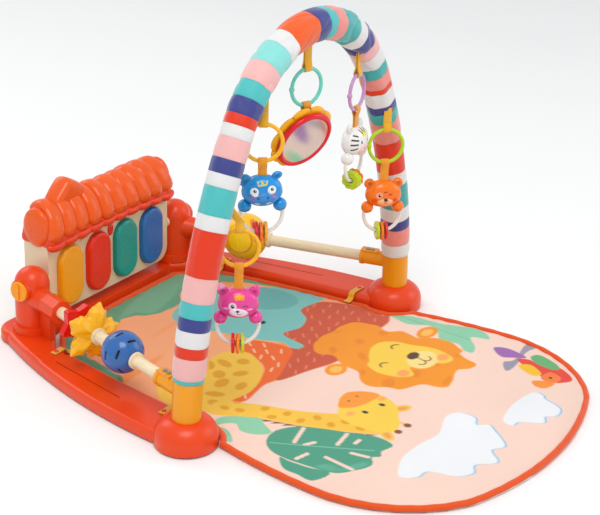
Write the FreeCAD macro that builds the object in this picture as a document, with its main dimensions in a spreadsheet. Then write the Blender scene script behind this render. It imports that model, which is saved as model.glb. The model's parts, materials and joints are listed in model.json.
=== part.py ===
"""Baby play gym: a U-shaped plastic frame, a kick piano that tilts between two columns, a padded arch
with five hanging toys, two toy bars with spinners, and a quilted mat.

Millimetres, +Z up. The origin is on the floor, midway between the arch's two feet. +X runs from the left
foot to the right one, and +Y from the mat's front edge to the piano.
"""
import FreeCAD, Part
import math
import os
from FreeCAD import Placement, Rotation
from FreeCAD import Vector as V

doc = FreeCAD.newDocument("play_gym")
sheet = doc.addObject("Spreadsheet::Sheet", "dims")

# ---------------------------------------------------------------- driving dimensions
SIZES = [
    # the frame on the floor
    ("leg_spacing", 470), ("piano_clearance", 2.5), ("column_y", 318), ("rear_y", 363), ("floor_gap", 2),
    ("rail_height", 17), ("rail_wall", 3), ("rail_inner_inset", 32), ("rail_outer_inset", 27),
    ("rail_bulge", 18.5), ("rail_round", 6), ("corner_round", 29), ("rail_waist_inset", 20), ("rail_waist_back", 56),
    ("foot_radius", 38), ("foot_height", 34), ("foot_rim", 7), ("crossbar_height", 14), ("crossbar_front", 304),
    ("crossbar_half", 122), ("pad_radius", 7), ("screw_radius", 1.6), ("screw_head", 3),
    # columns, knobs and toy bars
    ("column_radius", 22.5), ("column_wall", 3), ("column_top", 82), ("collar_radius", 27), ("collar_height", 10),
    ("pivot_z", 78), ("pivot_radius", 8), ("pivot_gap", 0.1), ("knob_radius", 13.5), ("knob_depth", 6),
    ("bar_radius", 7.5), ("bar_z", 66), ("bar_start", 24), ("bar_end_gap", 68.5), ("bar_cup_radius", 15.5),
    ("bar_cup_length", 30), ("bar_cup_depth", 16), ("spin_gap", 0.3), ("stop_length", 4),
    ("star_at", 192), ("star_radius", 34), ("star_depth", 24), ("small_star_at", 224), ("small_star_radius", 28),
    ("small_star_depth", 14), ("ball_at", 127), ("ball_radius", 27), ("big_ball_at", 221), ("big_ball_radius", 34),
    # the arch
    ("arch_height", 448), ("arch_top_radius", 160), ("arch_shoulder", 60), ("tube_radius", 11), ("tube_wall", 2),
    ("sleeve_radius", 19.5), ("sleeve_gap", 0.4), ("post_radius", 17.5), ("post_top", 81), ("post_foot", 7),
    ("post_gap", 0.2), ("tee_radius", 10.3), ("tee_length", 50),
    # the mat
    ("mat_front", 363), ("mat_thick", 8), ("mat_corner_x", 150), ("mat_corner_y", 335), ("mat_side_x", 241),
    ("mat_side_y", 185), ("mat_neck_x", 222), ("mat_rear", 300), ("mat_gap", 1.5), ("piping", 6),
    # the piano
    ("piano_half", 123), ("piano_front_y", 312), ("piano_split_y", 332), ("piano_back_y", 353), ("piano_bottom", 25),
    ("piano_top", 152), ("piano_corner", 20), ("shell_wall", 2.5), ("key_pitch", 56), ("key_width", 45),
    ("key_height", 84), ("key_z", 73), ("key_proud", 8), ("key_gap", 0.5), ("key_travel", 4), ("key_flange", 2.5),
    ("roof_half", 127), ("roof_eave_y", 303), ("roof_eave_z", 123), ("roof_ridge_y", 334), ("roof_ridge_z", 177),
    ("roof_back_y", 357), ("roof_wall", 3), ("chimney_x", -66), ("chimney_width", 54), ("chimney_height", 36),
    ("speaker_x", -56), ("speaker_z", 133), ("speaker_radius", 15), ("cell_radius", 7), ("cell_length", 50),
    ("switch_x", 70), ("switch_travel", 6), ("board_thick", 1.6), ("post_boss", 3.5),
    # the hanging toys
    ("ring_radius", 22.3), ("ring_wire", 2.3), ("loop_bore", 3.4), ("loop_web", 1.5), ("loop_width", 10),
    ("tab_length", 21), ("head_half_width", 24), ("head_half_height", 19), ("head_half_depth", 14),
    ("head_wall", 2), ("ear_radius", 7), ("paw_radius", 7.8), ("handle_radius", 24.5), ("handle_drop", 28.5),
    ("bead_radius", 12.5), ("bead_thick", 5), ("bead_pitch", 5.5), ("bead_bore", 3.6), ("mirror_radius", 33), ("mirror_rim", 3.6),
    ("petal_reach", 45), ("petal_count", 12), ("mirror_pitch", 22),
]
for row, (alias, value) in enumerate(SIZES, start=1):
    sheet.set(f"A{row}", alias)
    sheet.set(f"B{row}", str(value))
    sheet.setAlias(f"B{row}", alias)
doc.recompute()


def mm(alias):
    """A driving dimension's value, read from the sheet."""
    return float(sheet.get(alias))


# ---------------------------------------------------------------- helpers
X, Y, Z = V(1, 0, 0), V(0, 1, 0), V(0, 0, 1)
NODES = {}


def node(name, piece):
    """Labels a finished sub-part, and keeps it for export."""
    piece.Label = name
    NODES[name] = piece
    return piece


def shaped(name, shape, place=None):
    """A sub-part whose shape is made with Part's own functions."""
    piece = doc.addObject("Part::Feature", name)
    piece.Shape = shape
    if place is not None:
        piece.Placement = place
    return node(name, piece)


def primitive(kind, name, at=(0, 0, 0), turn=None, **rules):
    """A Part primitive whose sizes and place are expressions on the sheet."""
    piece = doc.addObject("Part::" + kind, name)
    if turn:
        piece.Placement = Placement(V(), Rotation(*turn))
    for prop, rule in rules.items():
        piece.setExpression(prop, str(rule))
    for axis, rule in zip("xyz", at):
        piece.setExpression(".Placement.Base." + axis, str(rule))
    return piece


def joined(name, *pieces):
    piece = doc.addObject("Part::MultiFuse", name)
    piece.Shapes = list(pieces)
    return piece


def minus(name, base, *tools):
    piece = doc.addObject("Part::Cut", name)
    piece.Base = base
    piece.Tool = tools[0] if len(tools) == 1 else joined(name + "_tools", *tools)
    return piece


def mirrored(name, source):
    """The same piece on the other side of the YZ plane."""
    piece = doc.addObject("Part::Mirroring", name)
    piece.Source = source
    piece.Normal = X
    return node(name, piece)


def path(*steps):
    """A closed face: each step is a corner, or a (middle, end) pair for an arc through both."""
    edges, here = [], steps[0]
    for step in list(steps[1:]) + [steps[0]]:
        if isinstance(step, tuple):
            edges.append(Part.Arc(here, step[0], step[1]).toShape())
            here = step[1]
        elif (step - here).Length > 1e-6:
            edges.append(Part.makeLine(here, step))
            here = step
    return Part.Face(Part.Wire(edges))


def cylinder(radius, length, at=V(), axis=Z):
    return Part.makeCylinder(radius, length, at, axis)


def tube(outer, inner, length, at=V(), axis=Z):
    return cylinder(outer, length, at, axis).cut(cylinder(inner, length, at, axis))


def edges_at(shape, test):
    """The edges whose middle point passes a test."""
    return [e for e in shape.Edges if test(e.CenterOfMass)]


def flipped(shape):
    return shape.mirror(V(), X)


# ---------------------------------------------------------------- the arch's centreline
foot_x, arch_h = mm("leg_spacing") / 2, mm("arch_height")
top_r, shoulder = mm("arch_top_radius"), math.radians(mm("arch_shoulder"))
# One arc over the top, then on each side a wide arc tangent to it that comes down through the foot.
outward = V(math.sin(shoulder), 0, math.cos(shoulder))
shoulder_point = V(0, 0, arch_h - top_r) + outward * top_r
to_foot = V(foot_x, 0, mm("post_foot")) - shoulder_point
leg_r = -to_foot.Length ** 2 / (2 * to_foot.dot(outward))
leg_centre = shoulder_point - outward * leg_r


def leg_angle(z):
    """The angle round the leg's arc, in degrees above level, where the centreline is at height z."""
    return math.degrees(math.asin((z - leg_centre.z) / leg_r))


def arc_ring(outer, inner, radius, centre, start, end):
    """A bent tube: a ring section carried about centre, from start to end degrees above level."""
    at = centre + V(radius * math.cos(math.radians(start)), 0, radius * math.sin(math.radians(start)))
    along = V(-math.sin(math.radians(start)), 0, math.cos(math.radians(start)))
    face = Part.Face(Part.Wire(Part.makeCircle(outer, at, along)))
    if inner:
        face = face.cut(Part.Face(Part.Wire(Part.makeCircle(inner, at, along))))
    return face.revolve(centre, V(0, -1, 0), end - start)


def leg_tube(outer, inner, low, high=None):
    """The right leg's bent tube from height low to height high, or to the shoulder."""
    end = 90 - mm("arch_shoulder") if high is None else leg_angle(high)
    return arc_ring(outer, inner, leg_r, leg_centre, leg_angle(low), end)


def top_tube(outer, inner, start, end):
    return arc_ring(outer, inner, top_r, V(0, 0, arch_h - top_r), start, end)


# ---------------------------------------------------------------- frame: rails, feet and crossbar
# the columns stand just clear of the piano's sides
column_x = mm("piano_half") + mm("piano_clearance") + mm("column_radius")
column_y, rear_y = mm("column_y"), mm("rear_y")
gap, rail_top, wall = mm("floor_gap"), mm("rail_height"), mm("rail_wall")
foot = V(foot_x, 0, 0)


def rail_outline(z):
    """The right rail seen from above, from under its foot round the column to the crossbar."""
    inner_front = V(foot_x - mm("rail_inner_inset"), 0, z)
    outer_front = V(foot_x + mm("rail_outer_inset"), 0, z)
    corner = mm("corner_round")
    outer_rear = V(column_x + mm("column_radius") + 9, rear_y - corner, z)
    rear_corner = V(outer_rear.x - corner, rear_y, z)
    corner_mid = V(outer_rear.x - corner * (1 - math.sqrt(0.5)), rear_y - corner * (1 - math.sqrt(0.5)), z)
    chord = outer_front - outer_rear
    bulge_mid = (outer_front + outer_rear) * 0.5 + V(-chord.y, chord.x, 0).normalize() * mm("rail_bulge")
    join_x = mm("crossbar_half")
    waist = V(column_x + mm("rail_waist_inset"), column_y - mm("rail_waist_back"), z)
    inner_mid = (inner_front + waist) * 0.5 + V(3, 0, 0)
    return path(
        inner_front, (inner_mid, waist), V(join_x, mm("crossbar_front"), z), V(join_x, rear_y, z), rear_corner,
        (corner_mid, outer_rear), (bulge_mid, outer_front),
    )


def rail():
    """A moulded shell, open underneath: the rail, the domed foot and the seat for the arch's post."""
    block = rail_outline(gap).extrude(V(0, 0, rail_top - gap))
    rim = edges_at(block, lambda p: p.z > rail_top - 0.01 and p.x > mm("crossbar_half") + 1 and p.y > 1)
    block = block.makeFillet(mm("rail_round"), rim)
    hollow = rail_outline(gap).makeOffset2D(-wall).extrude(V(0, 0, rail_top - gap - wall))
    shell = block.cut(hollow)
    # a narrow slot near the inner edge, where the mat's loops pass
    slot_from, slot_to = V(foot_x - 13, 110, 0), V(foot_x - 35, 232, 0)
    run = slot_to - slot_from
    slot = Part.makeBox(1.6, run.Length, 10, V(), Z)
    slot.Placement = Placement(slot_from + V(0, 0, rail_top - 5), Rotation(Y, run))
    shell = shell.cut(slot)
    r, top, lip = mm("foot_radius"), mm("foot_height"), mm("post_radius") + 2.5
    brow = V(lip + (r - lip) * 0.78, 0, gap + mm("foot_rim") + (top - gap - mm("foot_rim")) * 0.62)
    dome = path(V(0, 0, gap), V(r, 0, gap), V(r, 0, gap + mm("foot_rim")), (brow, V(lip, 0, top)), V(0, 0, top))
    dome = dome.revolve(V(), Z, 360)
    r_in = r - wall
    cavity = path(
        V(lip + wall, 0, gap), V(r_in, 0, gap), V(r_in, 0, gap + mm("foot_rim")), (brow - V(wall, 0, wall), V(lip + wall, 0, top - wall - 3)),
    ).revolve(V(), Z, 360)
    dome.translate(foot)
    cavity.translate(foot)
    shell = shell.cut(cylinder(r - wall / 2, rail_top + 1, foot)).fuse(dome.cut(cavity))
    # the post's seat follows the bent leg, and the floor pad's stem comes up into it
    seat = leg_tube(mm("post_radius") + mm("post_gap"), 0, mm("post_foot"), top + 6)
    holes = [cylinder(mm("screw_radius"), 2 * rail_top, at) for at in column_screw_places()]
    stem_hole = cylinder(mm("pad_radius") - 3, mm("post_foot") + 2, foot)
    return shell.cut([seat, stem_hole] + holes).removeSplitter()


def column_screw_places():
    """The two screws that hold the right column down, either side of its axis."""
    return [V(column_x, column_y + side * (mm("column_radius") - 7), 0) for side in (1, -1)]


def column():
    """A domed column with its collar, the pivot's bearing hole, and the arm that carries the toy bar."""
    r, t = mm("column_radius"), mm("column_wall")
    base, top, pz = rail_top, mm("column_top"), mm("pivot_z")
    at = V(column_x, column_y, 0)
    body = cylinder(r, top - base, at + V(0, 0, base)).fuse(Part.makeSphere(r, at + V(0, 0, top)))
    body = body.fuse(cylinder(mm("collar_radius"), mm("collar_height"), at + V(0, 0, base)))
    knob_seat = cylinder(mm("knob_radius") + 1.5, r + 0.5, at + V(0, 0, pz), X)
    body = body.fuse(knob_seat)
    # the arm: a tapered horn from the column to an eight-sided cup at the bar's end
    reach, cup_r = bar_length_to_column(), mm("bar_cup_radius")
    cup_back = bar_point(bar_end() + mm("bar_cup_length") - mm("bar_cup_depth"))
    octagon = Part.Face(Part.makePolygon([
        V(cup_r * math.cos(math.radians(22.5 + 45 * k)), cup_r * math.sin(math.radians(22.5 + 45 * k)), 0)
        for k in range(9)
    ]))
    cup = octagon.extrude(V(0, 0, mm("bar_cup_length")))
    cup.Placement = Placement(bar_point(bar_end() - mm("bar_cup_depth")), Rotation(Z, bar_axis))
    horn = Part.makeCone(cup_r - 3, r - 3, reach - bar_end() - mm("bar_cup_length") + mm("bar_cup_depth"), cup_back, bar_axis)
    gusset = Part.makeBox(6, reach - bar_end() - 8, mm("bar_z") - base, V(-3, 0, 0))
    gusset.Placement = Placement(bar_point(bar_end() + 8) - V(0, 0, mm("bar_z") - base), Rotation(Y, bar_axis))
    body = body.fuse([cup, horn, gusset])
    inside = cylinder(r - t, top - base, at + V(0, 0, base)).fuse(Part.makeSphere(r - t, at + V(0, 0, top)))
    # the knob's seat stays a tube through the hollow column
    inside = inside.cut(cylinder(mm("knob_radius") + 1.5, r, at + V(6, 0, pz), X))
    body = body.cut(inside)
    boss_height = 14
    for place in column_screw_places():
        boss = cylinder(5, boss_height, place + V(0, 0, base))
        body = body.fuse(boss).cut(cylinder(mm("screw_radius"), boss_height - 2, place + V(0, 0, base)))
    bore = cylinder(mm("pivot_radius") + mm("pivot_gap"), 4 * r, at + V(-2 * r, 0, pz), X)
    recess = cylinder(mm("knob_radius") + 0.3, 3, at + V(r - 2.5, 0, pz), X)
    socket = cylinder(mm("bar_radius"), mm("bar_cup_depth"), bar_point(bar_end() - mm("bar_cup_depth")), bar_axis)
    return body.cut([bore, recess, socket]).removeSplitter()


# the toy bar runs level from the arch's post towards the column
bar_from = V(foot_x, 0, mm("bar_z"))
bar_axis = V(column_x - foot_x, column_y, 0).normalize()


def bar_point(distance):
    """The point on the right toy bar's axis at a distance from the post."""
    return bar_from + bar_axis * distance


def bar_length_to_column():
    return V(column_x - foot_x, column_y, 0).Length


def bar_end():
    """Where the bar's rear end stands in its cup."""
    return bar_length_to_column() - mm("bar_end_gap") + mm("bar_cup_depth")


def leg_socket():
    """The post that seats in the foot, takes the arch's tube, and carries the bar's front end in a tee."""
    post = leg_tube(mm("post_radius"), 0, mm("post_foot"), mm("post_top"))
    tee = cylinder(mm("tee_radius"), mm("tee_length"), bar_from, bar_axis)
    collar = cylinder(mm("tee_radius") + 1, 5, bar_point(mm("tee_length") - 5), bar_axis)
    bore = leg_tube(mm("tube_radius"), 0, mm("bar_z") - 30, mm("post_top") + 5)
    bar_bore = cylinder(mm("bar_radius"), mm("tee_length"), bar_point(mm("bar_start")), bar_axis)
    screws = [cylinder(mm("screw_radius"), 20, bar_point(mm("tee_length") - d)) for d in (16, 9)]
    drain = cylinder(6, 60, V(foot_x, 0, 0))
    pad = Part.makeBox(24, 14, mm("tee_radius") + 1, V(-12, -7, 0))
    pad.Placement = Placement(bar_point(mm("tee_length") - 12.5), Rotation(X, bar_axis))
    return post.fuse([tee, collar, pad]).cut([bore, bar_bore, drain] + screws).removeSplitter()


right_rail = shaped("right_rail", rail())
mirrored("left_rail", right_rail)

bar_box = primitive(
    "Box", "crossbar_block", at=("-dims.crossbar_half", "dims.crossbar_front", "dims.floor_gap"),
    Length="2 * dims.crossbar_half", Width="dims.rear_y - dims.crossbar_front",
    Height="dims.crossbar_height - dims.floor_gap",
)
bar_hollow = primitive(
    "Box", "crossbar_hollow", at=("-dims.crossbar_half + dims.rail_wall", "dims.crossbar_front + dims.rail_wall", 0),
    Length="2 * (dims.crossbar_half - dims.rail_wall)", Width="dims.rear_y - dims.crossbar_front - 2 * dims.rail_wall",
    Height="dims.crossbar_height - dims.rail_wall",
)
node("rear_crossbar", minus("rear_crossbar", bar_box, bar_hollow))

right_column = shaped("right_column", column())
mirrored("left_column", right_column)
right_socket = shaped("right_leg_socket", leg_socket())
mirrored("left_leg_socket", right_socket)

bar_span = bar_end() - mm("bar_start")


def toy_bar(stops):
    """A round bar with raised collars that keep the spinners in their places."""
    bar = cylinder(mm("bar_radius"), bar_span, bar_point(mm("bar_start")), bar_axis)
    collars = [cylinder(mm("bar_radius") + 3, mm("stop_length"), bar_point(d), bar_axis) for d in stops]
    bar = bar.fuse(collars)
    screws = [cylinder(mm("screw_radius"), 20, bar_point(mm("tee_length") - d)) for d in (16, 9)]
    return bar.cut(screws).removeSplitter()


def stops_beside(at, length):
    return [at - length / 2 - mm("spin_gap") - mm("stop_length"), at + length / 2 + mm("spin_gap")]


def pads():
    """Six rubber pads under the feet, the rear corners and the crossbar."""
    places = [(foot_x, 0), (column_x + 14, rear_y - 22), (70, rear_y - 10)]
    r = mm("pad_radius")
    found = []
    for x, y in places:
        height = mm("post_foot") if y == 0 else (rail_top if x > column_x else mm("crossbar_height")) - wall
        pad = cylinder(r, gap, V(x, y, 0)).fuse(cylinder(r - 3, height, V(x, y, 0)))
        found += [pad, flipped(pad)]
    return Part.makeCompound(found)


def frame_screws():
    """Eight pan-head screws: two through each tee into the bar, and two up each rail into its column."""
    r, head = mm("screw_radius"), mm("screw_head")
    found = []
    for side in (1, -1):
        for distance in (mm("tee_length") - 16, mm("tee_length") - 9):
            at = bar_point(distance)
            shank = cylinder(r, mm("tee_radius") - mm("bar_radius") + 6, at + V(0, 0, mm("bar_radius") - 5))
            screw = shank.fuse(cylinder(head, 1.5, at + V(0, 0, mm("tee_radius") + 1)))
            found.append(screw if side > 0 else flipped(screw))
        for place in column_screw_places():
            shank = cylinder(r, wall + 10, place + V(0, 0, rail_top - wall))
            screw = shank.fuse(cylinder(head, 1.5, place + V(0, 0, rail_top - wall - 1.5)))
            found.append(screw if side > 0 else flipped(screw))
    return found


def rail_inner_edge(y):
    """Where the right rail's inner edge stands, at a distance y behind the feet."""
    across = Part.makeLine(V(0, y, gap), V(300, y, gap))
    return min(v.X for v in rail_outline(gap).common(across).Vertexes)


def mat_outline(inset=0.0):
    """The mat seen from above: between the rails, round the feet, and wide and rounded in front."""
    z = 0
    ring = mm("foot_radius") + mm("mat_gap")
    neck = V(mm("mat_neck_x") / 235.0 * foot_x, 0, z)
    neck.y = -math.sqrt(ring ** 2 - (neck.x - foot_x) ** 2)
    inner = V(0, mm("foot_radius") * 0.55, z)
    inner.x = rail_inner_edge(inner.y) - mm("mat_gap")
    waist = V(column_x + mm("rail_waist_inset") - mm("mat_gap") - 1.5, column_y - mm("rail_waist_back") - 3, z)
    rear = V(mm("crossbar_half"), mm("mat_rear") - 7, z)
    front = mm("mat_front")
    corner = V(mm("mat_corner_x"), -mm("mat_corner_y") * front / 363.0, z)
    side = V(mm("mat_side_x"), -mm("mat_side_y") * front / 363.0, z)
    left = lambda p: V(-p.x, p.y, p.z)
    foot_side = foot - V(ring, 0, 0)
    # the mat's edge stays on the ring round the foot, from its neck to the foot's inner side
    turn = (math.atan2(neck.y, neck.x - foot_x) + 3 * math.pi) / 2
    ring_mid = foot + V(ring * math.cos(turn), ring * math.sin(turn), 0)
    inner_ring = V(foot_x - math.sqrt(ring ** 2 - inner.y ** 2 / 4), inner.y / 2, z)
    neck_mid = V((side.x + neck.x) / 2 + 4, (side.y + neck.y) / 2, z)
    corner_mid = (corner + side) * 0.5 + V(18, -16, 0)
    inner_mid = (inner + waist) * 0.5
    inner_mid.x = rail_inner_edge(inner_mid.y) - mm("mat_gap")
    return path(
        corner, (corner_mid, side), (neck_mid, neck), (ring_mid, foot_side), (inner_ring, inner), (inner_mid, waist), rear,
        (V(0, mm("mat_rear"), z), left(rear)), left(waist), (left(inner_mid), left(inner)),
        (left(inner_ring), left(foot_side)), (left(ring_mid), left(neck)), (left(neck_mid), left(side)), (left(corner_mid), left(corner)),
        (V(0, -front, z), corner),
    )


def mat_solids():
    """The padded mat, and the piping sewn round its edge."""
    outline = mat_outline()
    core = outline.makeOffset2D(-mm("piping"))
    thick = V(0, 0, mm("mat_thick"))
    return core.extrude(thick), outline.cut(core).extrude(thick)


mat, piping = mat_solids()
shaped("play_mat", mat)
shaped("mat_piping", piping)


def mat_loops():
    """Four webbing loops sewn to the mat's edge, each up over the rail and round a peg on its top."""
    found = []
    width, thick = 9, 1.5
    for x, y in ((foot_x - 17, 46), (column_x + 34, column_y - 70)):
        low = mm("mat_thick")
        edge = min(rail_inner_edge(y - width / 2), rail_inner_edge(y + width / 2))
        riser = edge - mm("mat_gap") - thick + 0.5
        flap = Part.makeBox(12, width, thick, V(riser - 12 + thick, y - width / 2, low))
        upright = Part.makeBox(thick, width, rail_top + thick - low, V(riser, y - width / 2, low))
        strap = Part.makeBox(x + 7 - riser, width, thick, V(riser, y - width / 2, rail_top))
        peg = cylinder(3, 2, V(x, y, rail_top + thick))
        loop = flap.fuse([upright, strap, peg]).removeSplitter()
        found += [loop, flipped(loop)]
    return Part.makeCompound(found)


shaped("mat_loops", mat_loops())
shaped("rubber_pads", pads())

# ---------------------------------------------------------------- the arch: two tubes and the padded sleeve
tube_r, tube_in = mm("tube_radius"), mm("tube_radius") - mm("tube_wall")
tube_low = mm("bar_z") - 30
half = leg_tube(tube_r, tube_in, tube_low).fuse(top_tube(tube_r, tube_in, 90 - mm("arch_shoulder"), 90))
spigot = top_tube(tube_in - 0.0, tube_in - 2, 82, 98)
shaped("right_arch_tube", half.removeSplitter())
shaped("left_arch_tube", flipped(half.removeSplitter()).fuse(spigot))
sleeve_in = tube_r + mm("sleeve_gap")
padding = leg_tube(mm("sleeve_radius"), sleeve_in, mm("post_top"))
shaped("arch_sleeve", padding.fuse([
    flipped(padding), top_tube(mm("sleeve_radius"), sleeve_in, 90 - mm("arch_shoulder"), 90 + mm("arch_shoulder")),
]).removeSplitter())

# ---------------------------------------------------------------- spinners on the toy bars
hole = mm("bar_radius") + mm("spin_gap")


def on_left_bar(shape, distance):
    """Stands a shape modelled round +Z on the left toy bar, centred at a distance from the post."""
    at, axis = bar_point(distance), bar_axis
    shape.Placement = Placement(V(-at.x, at.y, at.z), Rotation(Z, V(-axis.x, axis.y, 0)))
    return shape


def star(radius, depth, points=5):
    """A fat rounded star, thickest at the hub."""
    rim = []
    for k in range(2 * points):
        reach = radius if k % 2 == 0 else radius * 0.62
        turn = math.pi * k / points
        rim.append(V(reach * math.cos(turn), reach * math.sin(turn), -depth * 0.32))
    plate = Part.Face(Part.makePolygon(rim + rim[:1])).extrude(V(0, 0, depth * 0.64))
    plate = plate.makeFillet(radius * 0.1, [e for e in plate.Edges if abs(e.tangentAt(e.FirstParameter).z) > 0.9])
    hub = cylinder(hole + 3.5, depth, V(0, 0, -depth / 2))
    return plate.fuse(hub).cut(cylinder(hole, 2 * depth, V(0, 0, -depth))).removeSplitter()


def ball(radius):
    """A hollow rattle ball with slots in its skin and a hub tube through it."""
    skin = Part.makeSphere(radius).cut(Part.makeSphere(radius - 2.5))
    slots = []
    for k in range(6):
        slot = Part.makeBox(2 * radius, 3, radius * 0.62, V(0, -1.5, -radius * 0.31))
        slot.rotate(V(), Z, 60 * k)
        slots.append(slot)
    hub = cylinder(hole + 2, 2 * radius - 3, V(0, 0, -radius + 1.5))
    return skin.cut(slots).fuse(hub).cut(cylinder(hole, 4 * radius, V(0, 0, -2 * radius))).removeSplitter()


shaped("yellow_star", on_left_bar(star(mm("star_radius"), mm("star_depth")), mm("star_at")))
shaped("red_star", on_left_bar(star(mm("small_star_radius"), mm("small_star_depth")), mm("small_star_at")))
shaped("blue_ball", on_left_bar(ball(mm("ball_radius")), mm("ball_at")))
# each length is a spinner's own, from end to end
left_stops = stops_beside(mm("ball_at"), 2 * mm("ball_radius") - 1)
left_stops += stops_beside(mm("star_at"), mm("star_depth")) + stops_beside(mm("small_star_at"), mm("small_star_depth"))
shaped("left_toy_bar", flipped(toy_bar(left_stops)))
shaped("right_toy_bar", toy_bar(stops_beside(mm("big_ball_at"), 2 * mm("big_ball_radius") - 1)))
big_ball = ball(mm("big_ball_radius"))
big_ball.Placement = Placement(bar_point(mm("big_ball_at")), Rotation(Z, bar_axis))
shaped("yellow_ball", big_ball)
shaped("frame_screws", Part.makeCompound(frame_screws()))

# ---------------------------------------------------------------- the piano
half_w, front_y, split_y, back_y = mm("piano_half"), mm("piano_front_y"), mm("piano_split_y"), mm("piano_back_y")
low_z, high_z, skin = mm("piano_bottom"), mm("piano_top"), mm("shell_wall")
KEY_NAMES = ("yellow", "red", "teal", "blue")
key_x = [(k - 1.5) * mm("key_pitch") for k in range(4)]


def panel(y, inset=0.0):
    """The piano's face: upright, with rounded lower corners."""
    w, c = half_w - inset, mm("piano_corner") - inset
    low, high = low_z + inset, high_z - inset
    m = c * (1 - math.sqrt(0.5))
    return path(
        V(-w, y, high), V(-w, y, low + c), (V(-w + m, y, low + m), V(-w + c, y, low)), V(w - c, y, low),
        (V(w - m, y, low + m), V(w, y, low + c)), V(w, y, high),
    )


def stadium(x, y, z, width, height):
    """An upright outline with round ends, for a key or its opening."""
    r, s = width / 2, height / 2 - width / 2
    return path(
        V(x - r, y, z - s), (V(x, y, z - s - r), V(x + r, y, z - s)), V(x + r, y, z + s),
        (V(x, y, z + s + r), V(x - r, y, z + s)),
    )


def piano_front():
    """The front casing: a tray with openings for the keys and the lamp, and holes for the speaker."""
    depth = split_y - front_y
    shell = panel(front_y).extrude(V(0, depth, 0)).cut(panel(front_y + skin, skin).extrude(V(0, depth, 0)))
    g = mm("key_gap")
    tools = [
        stadium(x, front_y - 1, mm("key_z"), mm("key_width") + 2 * g, mm("key_height") + 2 * g).extrude(V(0, skin + 2, 0))
        for x in key_x
    ]
    tools.append(cylinder(5, skin + 2, V(0, front_y - 1, lamp_z), Y))
    for cluster in (mm("speaker_x"), 2 * mm("key_pitch")):
        for dx, dz in ((0, 0), (5, 0), (-5, 0), (0, 5), (5, 5), (-5, 5)):
            if abs(cluster + dx) < half_w - 4:
                tools.append(cylinder(1.2, skin + 2, V(cluster + dx, front_y - 1, speaker_holes_z + dz), Y))
    # long posts reach back to the rear casing, and take its screws
    reach = back_y - 2 * skin - front_y
    posts = [cylinder(mm("post_boss"), reach, V(x, front_y + skin, z), Y) for x, z in screw_places()]
    threads = [cylinder(mm("screw_radius"), 9, V(x, back_y - skin - 8, z), Y) for x, z in screw_places()]
    return shell.cut(tools).fuse(posts).cut(threads)


def piano_rear():
    """The rear casing, with the battery box, the switch's slot and the two pivots."""
    depth = back_y - split_y
    shell = panel(split_y).extrude(V(0, depth, 0)).cut(panel(split_y, skin).extrude(V(0, depth - skin, 0)))
    box_w, box_h, box_d = cell_box()
    outer = Part.makeBox(box_w + 2 * skin, box_d, box_h + 2 * skin, V(-box_w / 2 - skin, back_y - box_d, cell_z() - skin))
    inner = Part.makeBox(box_w, box_d, box_h, V(-box_w / 2, back_y - box_d + skin, cell_z()))
    slot = Part.makeBox(mm("switch_travel") + 6.6, skin + 2, 3.6, V(mm("switch_x") - 3.3, back_y - skin - 1, 98.2))
    holes = [cylinder(mm("screw_radius"), skin + 2, V(x, back_y - skin - 1, z), Y) for x, z in screw_places()]
    pins = []
    for side in (1, -1):
        start = V(side * (half_w - 0.5), column_y, mm("pivot_z"))
        pins.append(cylinder(mm("pivot_radius"), column_x - 9 - half_w, start, X * side))
    return shell.fuse(outer).cut([inner, slot] + holes), pins


def cell_box():
    """The battery box's inside width and height, and its whole depth."""
    return 3 * 2 * mm("cell_radius") + 3, mm("cell_length") + 3, 2 * mm("cell_radius") + 1 + 2 * skin


def cell_z():
    return low_z + 14


def screw_places():
    x, low, high = half_w - 9, low_z + 22, high_z - 16
    return [(s * x, z) for s in (1, -1) for z in (low, high)] + [(0, high)]


lamp_z = mm("key_z") + mm("key_height") / 2 - 4
speaker_holes_z = mm("key_z") + mm("key_height") / 2 + 1


def piano_key(x):
    """A domed key with a flange that stops it behind the panel, and a stem over its switch."""
    w, h, proud = mm("key_width"), mm("key_height"), mm("key_proud")
    cap = stadium(x, front_y - proud, mm("key_z"), w, h).extrude(V(0, proud + skin + 1, 0))
    cap = cap.makeFillet(5, edges_at(cap, lambda p: p.y < front_y - proud + 0.01))
    flange_y = front_y + skin + 0.2
    flange = stadium(x, flange_y, mm("key_z"), w + 4, h + 4).extrude(V(0, mm("key_flange"), 0))
    stem = cylinder(5, board_y() - dome_height() - 0.3 - mm("key_travel") - flange_y, V(x, flange_y, mm("key_z")), Y)
    return cap.fuse([flange, stem]).removeSplitter()


def board_y():
    """The board stands against the front of the battery box."""
    return back_y - cell_box()[2] - mm("board_thick")


def dome_height():
    return 3.0


front_shell = piano_front()
rear_shell, pivot_pins = piano_rear()
# the front casing carries the pivots, because they stand ahead of the split
shaped("piano_front", front_shell.fuse(pivot_pins).removeSplitter())
shaped("piano_rear", rear_shell.cut(pivot_pins).removeSplitter())
for name, x in zip(KEY_NAMES, key_x):
    shaped("key_" + name, piano_key(x))

node("lamp_lens", primitive(
    "Cylinder", "lamp_lens", at=(0, "dims.piano_front_y - 3", "dims.key_z + dims.key_height / 2 - 4"),
    turn=(X, -90), Radius=4.9, Height="dims.shell_wall + 4",
))
node("speaker", primitive(
    "Cylinder", "speaker", at=("dims.speaker_x", "dims.piano_front_y + dims.shell_wall", "dims.speaker_z"),
    turn=(X, -90), Radius="dims.speaker_radius", Height=11,
))


def circuit_board():
    """The board under the keys' stems, just in front of the battery box."""
    reach = half_w - 17
    at = V(-reach, board_y(), low_z + 12)
    return Part.makeBox(2 * reach, mm("board_thick"), mm("key_height") - 10, at)


def switch_domes():
    """One silicone dome on the board under each key's stem."""
    at = board_y() - dome_height()
    return Part.makeCompound([
        Part.makeCone(3, 5, dome_height(), V(x, at, mm("key_z")), Y) for x in key_x
    ])


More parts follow.
